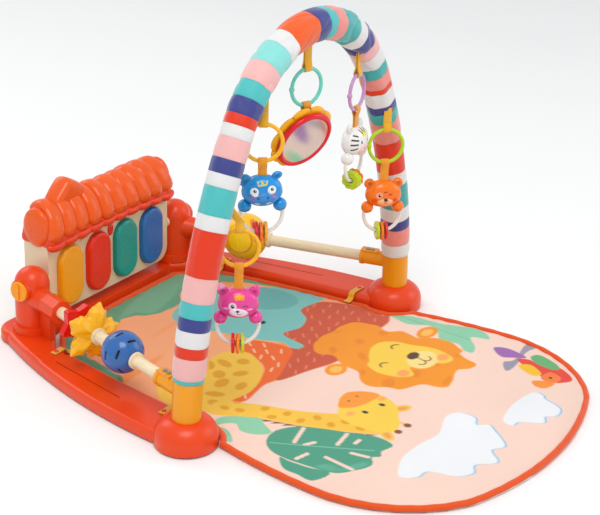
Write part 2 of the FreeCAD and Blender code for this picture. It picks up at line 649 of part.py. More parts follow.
def cells():
    """Three cells side by side in the battery box."""
    r = mm("cell_radius")
    y = back_y - skin - 0.5 - r
    return Part.makeCompound([
        cylinder(r, mm("cell_length"), V((k - 1) * (2 * r + 0.8), y, cell_z() + 1.5)) for k in range(3)
    ])


def battery_door():
    """The lid over the cells, set into the rear casing's face."""
    box_w, box_h, _ = cell_box()
    plate = Part.makeBox(box_w - 0.4, skin - 0.3, box_h - 0.4, V(-box_w / 2 + 0.2, back_y - skin + 0.3, cell_z() + 0.2))
    grip = Part.makeBox(12, 3, 4, V(-6, back_y - 1, cell_z() + box_h - 9))
    return plate.cut(grip)


def power_switch():
    x, y = mm("switch_x"), back_y
    knob = Part.makeBox(6, skin + 2.5, 3, V(x - 3, y - skin - 0.4, 98.5))
    return knob.fuse(Part.makeBox(9, 1.4, 7, V(x - 4.5, y - skin - 1.8, 96.5)))


def piano_screws():
    """Five screws that hold the two casings together, driven from behind."""
    found = []
    for x, z in screw_places():
        shank = cylinder(mm("screw_radius"), skin + 8, V(x, back_y - skin - 8, z), Y)
        found.append(shank.fuse(cylinder(mm("screw_head"), 1.4, V(x, back_y, z), Y)))
    return Part.makeCompound(found)


shaped("circuit_board", circuit_board())
shaped("switch_domes", switch_domes())
shaped("batteries", cells())
shaped("battery_door", battery_door())
shaped("power_switch", power_switch())
shaped("piano_screws", piano_screws())


def roof():
    """The tiled roof: a bowed hood over the casing's top, open below, with the chimney on its ridge."""
    w, ey, ez = mm("roof_half"), mm("roof_eave_y"), mm("roof_eave_z")
    ry, rz, by, t = mm("roof_ridge_y"), mm("roof_ridge_z"), mm("roof_back_y"), mm("roof_wall")

    def hood(inset):
        low = ez + (0 if inset == 0 else -1)
        eave, back = V(-w + inset, ey + inset, low), V(-w + inset, by - inset, low)
        ridge = V(-w + inset, ry, rz - inset)
        bow = V(-w + inset, ey + inset + (ry - ey) * 0.3, ez + (rz - ez) * 0.68 - inset * 0.6)
        nape = V(-w + inset, ry + (by - ry) * 0.75 - inset * 0.8, ez + (rz - ez) * 0.72 - inset * 0.6)
        return path(eave, (bow, ridge), (nape, back)).extrude(V(2 * (w - inset), 0, 0))

    cx, cw, ch = mm("chimney_x"), mm("chimney_width"), mm("chimney_height")
    gable = path(
        V(cx - cw / 2, ry - 14, rz - 18), V(cx + cw / 2, ry - 14, rz - 18), V(cx + cw / 2, ry - 14, rz - 18 + ch * 0.55),
        V(cx, ry - 14, rz - 18 + ch), V(cx - cw / 2, ry - 14, rz - 18 + ch * 0.35),
    ).extrude(V(0, 26, 0))
    shell = hood(0).fuse(gable).cut(hood(t))
    # the casing's top fills the hood's mouth
    return shell.cut(panel(front_y).extrude(V(0, back_y - front_y, 0))).removeSplitter()


shaped("roof_cover", roof())


def tilt_knob():
    """The lock knob: a cap with a grip bar across it, and a stem in the column's bearing."""
    r, depth = mm("knob_radius"), mm("knob_depth")
    at = V(column_x + mm("column_radius") - 2.5 + 0.2, column_y, mm("pivot_z"))
    cap = cylinder(r, depth, at, X)
    cap = cap.makeFillet(1.5, edges_at(cap, lambda p: p.x > at.x + depth - 0.01))
    grip = Part.makeBox(2.5, 4.5, 2 * r - 7, at + V(depth - 0.5, -2.25, -r + 3.5))
    stem = cylinder(mm("pivot_radius"), 14, at - V(13.5, 0, 0), X)
    return cap.fuse([grip, stem]).removeSplitter()


right_knob = shaped("right_tilt_knob", tilt_knob())
mirrored("left_tilt_knob", right_knob)

# ---------------------------------------------------------------- hanging toys
ring_r, wire = mm("ring_radius"), mm("ring_wire")


def hang_point(where, wrap):
    """The point on the sleeve's skin that a strap is sewn to. where is an angle from the top, in degrees to
    the right, or a height on a leg ("left" or "right"); wrap turns it round the sleeve towards the front."""
    if isinstance(where, tuple):
        side, height = where
        a = math.radians(leg_angle(height))
        centre = leg_centre + V(leg_r * math.cos(a), 0, leg_r * math.sin(a))
        inward = V(-math.cos(a), 0, -math.sin(a))
        if side == "left":
            centre.x, inward.x = -centre.x, -inward.x
    else:
        a = math.radians(where)
        inward = V(-math.sin(a), 0, -math.cos(a))
        centre = V(0, 0, arch_h - top_r) - inward * top_r
    b = math.radians(wrap)
    return centre + (inward * math.cos(b) - Y * math.sin(b)) * mm("sleeve_radius")


# name, place on the arch, wrap, strap length, yaw, tab length
ANIMALS = [
    ("hippo", -49, 30, 23, -50, mm("tab_length") - 5),
    ("zebra", 45, 15, ring_r - 1.3, 8, mm("tab_length") + 1),
    ("bear", ("right", arch_h * 0.683), 55, 20, -45, mm("tab_length") + 3),
    ("kitten", ("left", arch_h * 0.69), 55, 57, -52, mm("tab_length") + 6),
]
MIRROR = ("mirror", -3, 0, 30, -17, mm("tab_length") - 4)


def webbing_loop(up, down):
    """A webbing loop round the ring's wire at the origin, running up by one length or down by the other."""
    r, width = mm("loop_bore") + mm("loop_web"), mm("loop_width")
    eye = cylinder(r, width, V(-width / 2, 0, 0), X)
    tail = Part.makeBox(width, 2 * mm("loop_web"), max(up, down), V(-width / 2, -mm("loop_web"), 0 if up else -down))
    return eye.fuse(tail).cut(cylinder(mm("loop_bore"), width, V(-width / 2, 0, 0), X)).removeSplitter()


def split_ring():
    """The plastic ring below its strap, with the clasp's knuckle on its left."""
    ring = Part.makeTorus(ring_r, wire, V(0, 0, -ring_r), Y)
    clasp = Part.makeSphere(wire * 1.5, V(-ring_r, 0, -ring_r))
    return ring.fuse(clasp)


def head_parts(tab):
    """A hollow rattle head in two halves, its tab, and three pellets. The origin is the ring's top wire."""
    w, h, d, t = mm("head_half_width"), mm("head_half_height"), mm("head_half_depth"), mm("head_wall")
    centre = V(0, 0, -2 * ring_r - tab - h)

    def puff(grow):
        """An oval block as deep as the head, with both faces rounded over."""
        depth = d + grow
        oval = Part.Ellipse(V(0, -depth, 0), w + grow, h + grow)
        oval.Axis = V(0, -1, 0)
        block = Part.Face(Part.Wire([oval.toShape()])).extrude(V(0, 2 * depth, 0))
        rims = edges_at(block, lambda p: abs(abs(p.y) - depth) < 0.01)
        return block.makeFillet(depth * 0.72, rims)

    body = puff(0)
    extras = []
    for side in (1, -1):
        extras.append(Part.makeSphere(mm("ear_radius"), V(side * w * 0.8, 0, h * 0.68)))
        extras.append(Part.makeSphere(mm("paw_radius"), V(side * w * 0.85, 0, -h)))
    body = body.fuse(extras).cut(puff(-t))
    handle_bore = Part.makeTorus(mm("handle_radius"), wire, V(0, 0, -mm("handle_drop")), Y)
    body = body.cut(handle_bore)
    block = Part.makeBox(4 * w, 2 * w, 4 * w, V(-2 * w, 0, -2 * w))
    halves = [body.cut(block), body.common(block)]
    pellets = [Part.makeSphere(2, V(x, 0, -h + t + 2.6)) for x in (-6, 0, 6)]
    for part in halves + pellets:
        part.translate(centre)
    tail = webbing_loop(0, tab + 1.5)
    tail.translate(V(0, 0, -2 * ring_r))
    tail = tail.cut(halves[0].fuse(halves[1]))
    tail = max(tail.Solids, key=lambda s: s.Volume)
    solids = [s for part in halves for s in part.Solids if s.Volume > 1] + [tail] + pellets
    return solids, centre


def toy_place(where, wrap, strap, yaw):
    """The frame of a hanging toy: its origin is the ring's top wire, and it faces its own -Y."""
    return Placement(hang_point(where, wrap) - V(0, 0, strap), Rotation(Z, yaw))


def handle(centre):
    """The white grab ring, from paw to paw under the head."""
    at = centre - V(0, 0, mm("handle_drop"))
    ring = Part.makeTorus(mm("handle_radius"), wire, at, Y)
    top = Part.makeBox(100, 20, 60, V(-50, -10, centre.z - mm("head_half_height") * 0.9))
    return ring.cut(top), at


def beads(at):
    """Three discs threaded on the grab ring, side by side and parallel at its lowest point."""
    r, thick = mm("handle_radius"), mm("bead_thick")
    spots = [V(mm("bead_pitch") * k, 0, 0) for k in (-1, 0, 1)]
    return Part.makeCompound([
        tube(mm("bead_radius"), mm("bead_bore"), thick, at + x + V(-thick / 2, 0, -math.sqrt(r ** 2 - x.x ** 2)), X)
        for x in spots
    ])


straps = []
for name, where, wrap, strap, yaw, tab in ANIMALS + [MIRROR]:
    place = toy_place(where, wrap, strap, yaw)
    loop = webbing_loop(strap + 14, 0)
    loop.Placement = place
    straps.append(loop.cut(NODES["arch_sleeve"].Shape))
    shaped(name + "_ring", split_ring(), place)
    if name == "mirror":
        continue
    solids, centre = head_parts(tab)
    grab, ring_centre = handle(centre)
    shaped(name + "_head", Part.makeCompound(solids), place)
    shaped(name + "_handle", grab, place)
    shaped(name + "_beads", beads(ring_centre), place)
shaped("toy_straps", Part.makeCompound([max(s.Solids, key=lambda p: p.Volume) for s in straps]))


def mirror_toy():
    """A flower-framed mirror that hangs from a tab behind its upper half, so that it leans forwards."""
    _, where, wrap, strap, yaw, tab = MIRROR
    place = toy_place(where, wrap, strap, yaw)
    r, rim, reach, count = mm("mirror_radius"), mm("mirror_rim"), mm("petal_reach"), int(mm("petal_count"))
    hook_up, hook_back = 25.0, 10.0
    # modelled round its own axis, then leant: the disc faces its own -Y
    glass = cylinder(r, 2, V(0, -2, 0), Y)
    frame_ring = Part.makeTorus(r + rim * 0.6, rim, V(0, 0, 0), Y).cut(cylinder(r, 2, V(0, -2, 0), Y))
    backing = cylinder(reach - 8, 5, V(0, rim + 0.2, 0), Y)
    petal_r = math.pi * (reach - 8) / count
    lobes = [
        cylinder(petal_r, 5, V((reach - petal_r) * math.cos(a), rim + 0.2, (reach - petal_r) * math.sin(a)), Y)
        for a in (2 * math.pi * k / count for k in range(count))
    ]
    back_boss = cylinder(8, rim + 0.2, V(0, 0, 0), Y)
    petals = backing.fuse(lobes + [back_boss]).removeSplitter()
    drop = math.hypot(hook_up, hook_back)
    lean = Placement(V(0, 0, -2 * ring_r - tab - drop), Rotation(X, mm("mirror_pitch")))
    tail = webbing_loop(0, tab + 6)
    tail.translate(V(0, 0, -2 * ring_r))
    pieces = {"mirror_glass": glass, "mirror_rim": frame_ring, "mirror_petals": petals}
    for name, shape in pieces.items():
        shape.Placement = lean
        tail = tail.cut(shape)
        shaped(name, Part.makeCompound([shape]), place)
    shaped("mirror_tab", max(tail.Solids, key=lambda s: s.Volume), place)


mirror_toy()

# ---------------------------------------------------------------- check and export
doc.recompute()
for piece in doc.Objects:
    if "Invalid" in piece.State or "Error" in piece.State:
        raise SystemExit(f"{piece.Label} failed to build: {piece.State}")
os.makedirs("parts", exist_ok=True)
for name, piece in NODES.items():
    shape = piece.Shape
    if shape.isNull() or not shape.isValid() or not shape.Solids:
        raise SystemExit(f"{name} is not a valid solid")
    shape.exportStep(f"parts/{name}.step")
    print(f"{name}: {len(shape.Solids)} solid(s), {shape.Volume / 1000:.1f} cm3")
print(len(NODES), "nodes")
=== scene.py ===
# %% [markdown]
# # Activity play gym
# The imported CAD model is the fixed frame. Hard nodes keep their shapes and get new materials. Soft pieces,
# the
# tiled roof, the animals, the spinners and the mirror's flower are built here as smooth surfaces.
# Everything is in metres, in the CAD's own frame: +X to the right foot, +Y to the piano, +Z up.

# %% Load the frame
import json
import math
import bpy
import numpy as np
from mathutils import Matrix, Vector


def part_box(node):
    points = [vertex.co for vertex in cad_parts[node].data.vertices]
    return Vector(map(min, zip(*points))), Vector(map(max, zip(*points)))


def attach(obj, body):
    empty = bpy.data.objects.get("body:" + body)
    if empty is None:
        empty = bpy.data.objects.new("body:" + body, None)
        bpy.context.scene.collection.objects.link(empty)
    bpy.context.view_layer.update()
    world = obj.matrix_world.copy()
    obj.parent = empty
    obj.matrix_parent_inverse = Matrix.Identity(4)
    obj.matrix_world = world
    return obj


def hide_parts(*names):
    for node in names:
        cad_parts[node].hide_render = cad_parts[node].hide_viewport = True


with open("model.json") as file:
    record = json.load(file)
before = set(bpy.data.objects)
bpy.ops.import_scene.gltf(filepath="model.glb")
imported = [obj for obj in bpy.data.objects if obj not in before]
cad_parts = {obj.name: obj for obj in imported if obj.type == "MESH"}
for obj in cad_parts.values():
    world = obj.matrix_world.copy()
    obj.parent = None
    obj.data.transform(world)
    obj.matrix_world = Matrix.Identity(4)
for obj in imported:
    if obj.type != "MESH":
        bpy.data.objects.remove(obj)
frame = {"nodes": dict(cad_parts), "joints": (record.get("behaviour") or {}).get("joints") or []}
NODES = frame["nodes"]
JOINTS = {j["name"]: j for j in frame["joints"]}
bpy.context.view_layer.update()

# %% [markdown]
# ## Surface helpers
# A piece is one grid of points p(u, v). Each direction can be closed on itself, and the first or last row can
# shrink to one pole point, so that every surface is watertight. Colours are painted on its points.


# %% Surface helpers
def srgb(r, g, b):
    """A display colour as a surface colour: to linear light by ((c + 0.055) / 1.055) ** 2.4, then a seventh
    purer and a tenth darker, since the bright studio lifts and greys every surface in it."""
    c = np.array([r, g, b], float)
    light = np.where(c <= 0.04045, c / 12.92, ((c + 0.055) / 1.055) ** 2.4)
    grey = light @ (0.2126, 0.7152, 0.0722)
    return np.clip((grey + (light - grey) * 1.15) * 0.91, 0.003, 1.0)


def rgba(colour):
    return (*map(float, srgb(*colour)), 1.0)


def surface(name, points, body, look, wrap=(False, True), poles=(False, False), uv=None, paint=None,
            slot=None,
            replaces=(), smooth=True, outward=True):
    """A smooth mesh from a grid of points, nu x nv x 3. wrap closes u or v on itself; poles makes the first or
    last row one point. Faces are turned outward when the signed volume, the sum of a . (b x c) / 6, is negative."""
    points = np.asarray(points, float)
    nu, nv = points.shape[:2]
    ids = np.arange(nu * nv).reshape(nu, nv)
    if poles[0]:
        ids[0, :] = ids[0, 0]
    if poles[1]:
        ids[-1, :] = ids[-1, 0]
    grid = ids
    if wrap[0]:
        grid = np.vstack([grid, grid[:1]])
    if wrap[1]:
        grid = np.hstack([grid, grid[:, :1]])
    if uv is None:
        a, b = np.meshgrid(np.linspace(0, 1, grid.shape[0]), np.linspace(0, 1, grid.shape[1]), indexing="ij")
        uv = np.stack([a, b], -1)
    cell = np.stack([grid[:-1, :-1], grid[1:, :-1], grid[1:, 1:], grid[:-1, 1:]], -1).reshape(-1, 4)
    cuv = np.stack([uv[:-1, :-1], uv[1:, :-1], uv[1:, 1:], uv[:-1, 1:]], -2).reshape(-1, 4, 2)
    flat = points.reshape(-1, 3)
    if outward:
        a, b, c, d = (flat[cell[:, k]] for k in range(4))
        volume = np.einsum("ij,ij->i", a, np.cross(b, c)).sum() + np.einsum("ij,ij->i", a,
            np.cross(c, d)).sum()
        if volume < 0:
            cell, cuv = cell[:, ::-1], cuv[:, ::-1]
    same = np.stack([cell[:, k] != cell[:, (k + 1) % 4] for k in range(4)], -1)
    keep = same.sum(1) >= 3
    cell, cuv, same = cell[keep], cuv[keep], same[keep]
    totals = same.sum(1)
    loops, loop_uv = cell[same], cuv[same]
    used, loops = np.unique(loops, return_inverse=True)
    mesh = bpy.data.meshes.new(name)
    mesh.vertices.add(len(used))
    mesh.vertices.foreach_set("co", flat[used].astype(np.float32).ravel())
    mesh.loops.add(len(loops))
    mesh.loops.foreach_set("vertex_index", loops.astype(np.int32))
    mesh.polygons.add(len(totals))
    starts = np.concatenate([[0], np.cumsum(totals)[:-1]])
    mesh.polygons.foreach_set("loop_start", starts.astype(np.int32))
    mesh.polygons.foreach_set("use_smooth", np.full(len(totals), smooth))
    layer = mesh.uv_layers.new(name="UVMap")
    layer.data.foreach_set("uv", loop_uv.astype(np.float32).ravel())
    if paint is not None:
        colour = np.ones((len(flat), 4), np.float32)
        colour[:, :3] = np.broadcast_to(np.asarray(paint, float), (nu, nv, 3)).reshape(-1, 3)
        attribute = mesh.color_attributes.new("paint", "FLOAT_COLOR", "POINT")
        attribute.data.foreach_set("color", colour[used].ravel())
    mesh.update(calc_edges=True)
    mesh.validate()
    mesh.materials.append(look)
    piece = bpy.data.objects.new(name, mesh)
    bpy.context.scene.collection.objects.link(piece)
    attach(piece, body)
    if replaces:
        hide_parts(*replaces)
    return piece


def unit(v):
    v = np.asarray(v, float)
    return v / np.maximum(np.linalg.norm(v, axis=-1, keepdims=True), 1e-12)


def sweep(path, radius, sides=12, closed=False, squash=(1.0, 1.0), up=(0, 0, 1)):
    """Points of a tube of that radius along a path: p + r (cos a N + sin a B), with N square to the path."""
    path = np.asarray(path, float)
    along = np.roll(path, -1, 0) - np.roll(path, 1, 0) if closed else np.gradient(path, axis=0)
    along = unit(along)
    side = unit(np.cross(along, np.asarray(up, float)))
    over = np.cross(side, along)
    a = np.linspace(0, 2 * math.pi, sides, endpoint=False)
    radius = np.broadcast_to(np.asarray(radius, float), (len(path),))
    ring = side[:, None] * np.cos(a)[None, :, None] * squash[0] + over[:, None] * np.sin(a)[None, :,
        None] * squash[1]
    return path[:, None] + ring * radius[:, None, None]


def capped(points, steps=4):
    """Rounds the open ends of a swept tube: each end's ring shrinks to a pole along a quarter circle."""
    def cap(ring, beyond):
        centre = ring.mean(0)
        reach = np.linalg.norm(ring - centre, axis=1).mean()
        out = unit(centre - beyond.mean(0)) * reach
        t = np.linspace(0, math.pi / 2, steps + 1)[1:]
        return centre + (ring - centre)[None] * np.cos(t)[:, None, None] + out * np.sin(t)[:, None, None]
    first, last = cap(points[0], points[1]), cap(points[-1], points[-2])
    return np.concatenate([first[::-1], points, last])


def rod(name, path, radius, body, look, sides=12, **more):
    return surface(name, capped(sweep(path, radius, sides, **more.pop("shape", {}))), body, look,
                   poles=(True, True), **more)


def puff(half, depth, nu=64, nv=96, outline=None, front=2.4, edge=2.2):
    """A pillow facing -Y, as x, z, y fields. It is a superellipsoid: r = sin(t)^(2/front) at depth cos(t)^(2/edge),
    and outline(angle) scales its silhouette."""
    t = np.linspace(0, math.pi, nu)[:, None]
    a = np.linspace(0, 2 * math.pi, nv, endpoint=False)[None, :]
    r = np.sin(t).clip(0) ** (2 / front)
    grow = 1.0 if outline is None else outline(a)
    x, z = half[0] * r * grow * np.cos(a), half[1] * r * grow * np.sin(a)
    y = -depth * np.sign(np.cos(t)) * np.abs(np.cos(t)) ** (2 / edge) + 0 * a
    return np.stack([x, y, z], -1)


def placed(local, origin, x_axis=(1, 0, 0), up=(0, 0, 1)):
    """Carries local points to a frame with that origin and x axis, whose local -Y is the front."""
    x_axis, up = unit(x_axis), unit(up)
    front = np.cross(up, x_axis)
    return np.asarray(origin) + local[..., :1] * x_axis + local[..., 1:2] * front + local[..., 2:3] * up


def rounded(points, steps=8):
    """A closed Catmull-Rom curve through given corners."""
    p = np.asarray(points, float)
    t = np.linspace(0, 1, steps, endpoint=False)[None, :, None]
    a, b, c, d = (np.roll(p, k, 0)[:, None] for k in (1, 0, -1, -2))
    curve = 0.5 * (2 * b + (c - a) * t + (2 * a - 5 * b + 4 * c - d) * t ** 2 + (3 * b - a - 3 * c + d) * t ** 3)
    return curve.reshape(-1, 2)


def inside(x, y, polygon):
    """Signed distance to a polygon, positive inside, for smooth edges of paint."""
    p = np.asarray(polygon, float)
    q = np.roll(p, -1, 0)
    shape = x.shape
    pts = np.stack([x.ravel(), y.ravel()], -1)
    lo, hi = p.min(0) - 0.012, p.max(0) + 0.012
    near = np.all((pts > lo) & (pts < hi), axis=1)
    out = np.full(len(pts), -1.0)
    s = pts[near]
    best = np.full(len(s), 1e9)
    flips = np.zeros(len(s), bool)
    for a, b in zip(p, q):
        ab = b - a
        t = np.clip(((s - a) @ ab) / max(ab @ ab, 1e-18), 0, 1)
        best = np.minimum(best, np.linalg.norm(s - a - t[:, None] * ab, axis=1))
        cross = (a[1] > s[:, 1]) != (b[1] > s[:, 1])
        level = a[0] + (s[:, 1] - a[1]) / (ab[1] if abs(ab[1]) > 1e-12 else 1e-12) * ab[0]
        flips ^= cross & (s[:, 0] < level)
    out[near] = np.where(flips, best, -best)
    return out.reshape(shape)


def blob(x, y, cx, cy, rx, ry=None, turn=0.0):
    """Signed distance to an ellipse, roughly: (1 - |p / r|) * the smaller radius."""
    ry = rx if ry is None else ry
    c, s = math.cos(math.radians(turn)), math.sin(math.radians(turn))
    u, v = (x - cx) * c + (y - cy) * s, -(x - cx) * s + (y - cy) * c
    return (1 - np.hypot(u / rx, v / ry)) * min(rx, ry)


def stroke(x, y, a, b, width):
    """Signed distance to a straight brush stroke with round ends."""
    a, b = np.asarray(a, float), np.asarray(b, float)
    ab = b - a
    t = np.clip(((x - a[0]) * ab[0] + (y - a[1]) * ab[1]) / (ab @ ab), 0, 1)
    return width / 2 - np.hypot(x - a[0] - t * ab[0], y - a[1] - t * ab[1])


def lay(colour, distance, paint, soft=0.0006, strength=1.0):
    """Lays one coat of paint where the signed distance is positive."""
    cover = (np.clip(distance / soft * 0.5 + 0.5, 0, 1) * strength)[..., None]
    return colour * (1 - cover) + srgb(*paint) * cover


def ripple(x, y, seed, count=10, low=3.0, high=14.0):
    """A smooth random field: a sum of sines with seeded directions, wavelengths and phases."""
    r = np.random.default_rng(seed)
    out = 0
    for _ in range(count):
        turn, scale, phase = r.uniform(0, 2 * math.pi), r.uniform(low, high), r.uniform(0, 2 * math.pi)
        out = out + np.sin((x * math.cos(turn) + y * math.sin(turn)) * scale + phase)
    return out / math.sqrt(count)


print("helpers ready")

# %% [markdown]
# ## Camera, light and floor
# A long lens looks down from the front left. The light is a large soft key, two fills and a pale surround.

# %% Camera, light and floor
scene = bpy.context.scene
azimuth, elevation, roll = math.radians(-56.95), math.radians(23.95), math.radians(2.16)
back = Vector((math.sin(azimuth) * math.cos(elevation), -math.cos(azimuth) * math.cos(elevation),
               math.sin(elevation)))
right = Vector((math.cos(azimuth), math.sin(azimuth), 0))
up = back.cross(right)
right, up = math.cos(roll) * right + math.sin(roll) * up, -math.sin(roll) * right + math.cos(roll) * up
camera_data = bpy.data.cameras.new("camera")
camera_data.lens, camera_data.sensor_width, camera_data.sensor_fit = 93.2, 36.0, "HORIZONTAL"
camera_data.clip_start, camera_data.clip_end = 0.05, 50
camera = bpy.data.objects.new("camera", camera_data)
scene.collection.objects.link(camera)
camera.matrix_world = Matrix.Translation(Vector((0.10395, 0.07253, 0.09706)) + back * 2.0615) @ Matrix(
    (right, up, back)).transposed().to_4x4()
scene.camera = camera


def area_light(name, place, target, size, power, colour=(1, 1, 1)):
    data = bpy.data.lights.new(name, "AREA")
    data.shape, data.size, data.energy, data.color = "DISK", size, power, colour
    light = bpy.data.objects.new(name, data)
    scene.collection.objects.link(light)
    light.location = place
    light.rotation_euler = (Vector(target) - Vector(place)).to_track_quat("-Z", "Y").to_euler()
    return light


area_light("key", (-0.9, -0.5, 2.1), (0.05, 0.05, 0.1), 1.3, 21, (1.0, 0.985, 0.96))
area_light("fill", (1.6, -1.6, 1.2), (0.0, 0.0, 0.1), 1.6, 9, (0.96, 0.98, 1.0))
area_light("rim", (0.3, 1.9, 1.4), (0.0, 0.1, 0.15), 1.2, 7)
world = bpy.data.worlds.new("studio")
world.use_nodes = True
world.node_tree.nodes["Background"].inputs["Color"].default_value = (0.97, 0.985, 1.0, 1)
world.node_tree.nodes["Background"].inputs["Strength"].default_value = 0.74
scene.world = world
scene.view_settings.view_transform = "Standard"
print("camera and lights ready")

# %% [markdown]
# ## Materials
# Every finish is procedural. Moulded plastic has a slow colour drift, uneven gloss and a fine orange-peel
# bump.
# Cloth has crossed threads, a soft sheen and small creases. Painted pieces read their colours from their
# points.


# %% Materials
class Look:
    """A node tree under construction, with short calls to add nodes."""

    def __init__(self, name):
        self.material = bpy.data.materials.new(name)
        self.material.use_nodes = True
        self.tree = self.material.node_tree
        self.tree.nodes.clear()
        out = self.tree.nodes.new("ShaderNodeOutputMaterial")
        self.bsdf = self.tree.nodes.new("ShaderNodeBsdfPrincipled")
        self.tree.links.new(self.bsdf.outputs[0], out.inputs["Surface"])
        coords = self.add("ShaderNodeTexCoord")
        self.place, self.uv = coords.outputs["Object"], coords.outputs["UV"]

    def add(self, kind, inputs=None, **props):
        node = self.tree.nodes.new(kind)
        for key, value in props.items():
            setattr(node, key, value)
        for key, value in (inputs or {}).items():
            self.feed(node.inputs[key], value)
        return node

    def feed(self, socket, value):
        if isinstance(value, bpy.types.NodeSocket):
            self.tree.links.new(value, socket)
        else:
            socket.default_value = value

    def set(self, **inputs):
        for key, value in inputs.items():
            self.feed(self.bsdf.inputs[key.replace("_", " ")], value)

    def noise(self, scale, detail=3.0, vector=None, roughness=0.5):
        return self.add("ShaderNodeTexNoise", {"Vector": vector or self.place, "Scale": scale,
                                               "Detail": detail,
                                               "Roughness": roughness}).outputs["Fac"]

    def range(self, value, low, high, from_low=0.0, from_high=1.0):
        return self.add("ShaderNodeMapRange", {"Value": value, "From Min": from_low, "From Max": from_high,
                                               "To Min": low, "To Max": high}).outputs["Result"]

    def math(self, operation, a, b=0.0):
        return self.add("ShaderNodeMath", {0: a, 1: b}, operation=operation).outputs[0]

    def mix(self, factor, a, b, blend="MIX"):
        node = self.add("ShaderNodeMix", data_type="RGBA", blend_type=blend)
        self.feed(node.inputs[0], factor)
        self.feed(node.inputs[6], a)
        self.feed(node.inputs[7], b)
        return node.outputs[2]

    def bump(self, height, strength, distance=0.0005, normal=None):
        inputs = {"Height": height, "Strength": strength, "Distance": distance}
        if normal:
            inputs["Normal"] = normal
        return self.add("ShaderNodeBump", inputs).outputs["Normal"]

    def painted(self):
        return self.add("ShaderNodeVertexColor", layer_name="paint").outputs["Color"]


def shade(colour, factor):
    return tuple(min(1.0, c * factor) for c in colour)


def plastic(name, colour=None, gloss=0.32, coat=0.25, peel=0.25, drift=0.06, glow=None):
    """Moulded plastic: colour, or the painted attribute when there is none."""
    look = Look(name)
    base = look.painted() if colour is None else rgba(colour)
    slow = look.range(look.noise(9.0, 2.0), 1 - drift, 1 + drift)
    tone = look.add("ShaderNodeCombineColor", {"Red": slow, "Green": slow, "Blue": slow}).outputs[0]
    tinted = look.mix(1.0, base, tone, "MULTIPLY")
    rough = look.range(look.noise(160.0, 4.0), gloss - 0.06, gloss + 0.09)
    fine = look.bump(look.noise(900.0, 2.0), peel, 0.00012)
    wave = look.bump(look.noise(45.0, 2.0), 0.10, 0.0008, fine)
    look.set(Base_Color=tinted, Roughness=rough, Normal=wave, Coat_Weight=coat * 0.5, Coat_Roughness=0.12,
             IOR=1.5)
    look.bsdf.inputs["Specular IOR Level"].default_value = 0.34
    if glow:
        look.set(Subsurface_Weight=glow, Subsurface_Radius=(0.004, 0.002, 0.001), Subsurface_Scale=1.0)
    return look.material


def cloth(name, colour=None, threads=1500.0, sheen=0.35, rough=0.78, crease=0.35, weave=0.5, drift=0.05):
    """Woven cloth on UVs in metres: two crossed thread waves, a soft sheen and small creases."""
    look = Look(name)
    base = look.painted() if colour is None else rgba(colour)
    warp = look.add("ShaderNodeTexWave", {"Vector": look.uv, "Scale": threads / 6.283, "Distortion": 0.6},
                    wave_type="BANDS", bands_direction="X").outputs["Fac"]
    weft = look.add("ShaderNodeTexWave", {"Vector": look.uv, "Scale": threads / 6.283, "Distortion": 0.6},
                    wave_type="BANDS", bands_direction="Y").outputs["Fac"]
    threads_fac = look.math("MULTIPLY", warp, weft)
    slow = look.range(look.noise(14.0, 4.0), 1 - drift, 1 + drift)
    dark = look.math("MULTIPLY", slow, look.range(threads_fac, 0.94, 1.03))
    tone = look.add("ShaderNodeCombineColor", {"Red": dark, "Green": dark, "Blue": dark}).outputs[0]
    tinted = look.mix(1.0, base, tone, "MULTIPLY")
    creases = look.bump(look.noise(38.0, 6.0, roughness=0.62), crease, 0.0022)
    normal = look.bump(threads_fac, weave, 0.00022, creases)
    look.set(Base_Color=tinted, Roughness=rough, Normal=normal)
    look.bsdf.inputs["Sheen Weight"].default_value = sheen
    look.bsdf.inputs["Sheen Roughness"].default_value = 0.4
    look.bsdf.inputs["Specular IOR Level"].default_value = 0.35
    return look.material


def webbing(name, colour):
    """Ribbed woven tape on UVs in metres, u along it and v across: ribs across it and cords along it."""
    look = Look(name)
    ribs = look.add("ShaderNodeTexWave", {"Vector": look.uv, "Scale": 230.0, "Distortion": 1.2},
                    wave_type="BANDS", bands_direction="X").outputs["Fac"]
    cords = look.add("ShaderNodeTexWave", {"Vector": look.uv, "Scale": 150.0, "Distortion": 0.4},
                     wave_type="BANDS", bands_direction="Y").outputs["Fac"]
    both = look.math("ADD", look.math("MULTIPLY", ribs, 0.6), look.math("MULTIPLY", cords, 0.4))
    tone = look.math("MULTIPLY", look.range(both, 0.82, 1.06), look.range(look.noise(120.0), 0.94, 1.06))
    grey = look.add("ShaderNodeCombineColor", {"Red": tone, "Green": tone, "Blue": tone}).outputs[0]
    look.set(Base_Color=look.mix(1.0, rgba(colour), grey, "MULTIPLY"), Roughness=0.72,
             Normal=look.bump(both, 0.7, 0.0004))
    look.bsdf.inputs["Sheen Weight"].default_value = 0.4
    return look.material


def pale_bar(name):
    """A cream bar with a faint grain drawn out along it, in the pale tint of birch."""
    look = Look(name)
    stretched = look.add("ShaderNodeMapping", {"Vector": look.place, "Scale": (60.0, 3.0, 90.0)}).outputs[0]
    grain = look.noise(3.2, 6.0, stretched, 0.6)
    pores = look.noise(14.0, 3.0, stretched, 0.7)
    tint = look.mix(look.range(grain, 0, 1, 0.3, 0.7), rgba((0.93, 0.85, 0.70)), rgba((0.98, 0.93, 0.82)))
    tint = look.mix(look.range(pores, 0, 0.25, 0.6, 0.75), tint, rgba((0.86, 0.74, 0.56)))
    look.set(Base_Color=tint, Roughness=look.range(grain, 0.42, 0.56), Normal=look.bump(pores, 0.25, 0.0002),
             Coat_Weight=0.15, Coat_Roughness=0.25)
    return look.material


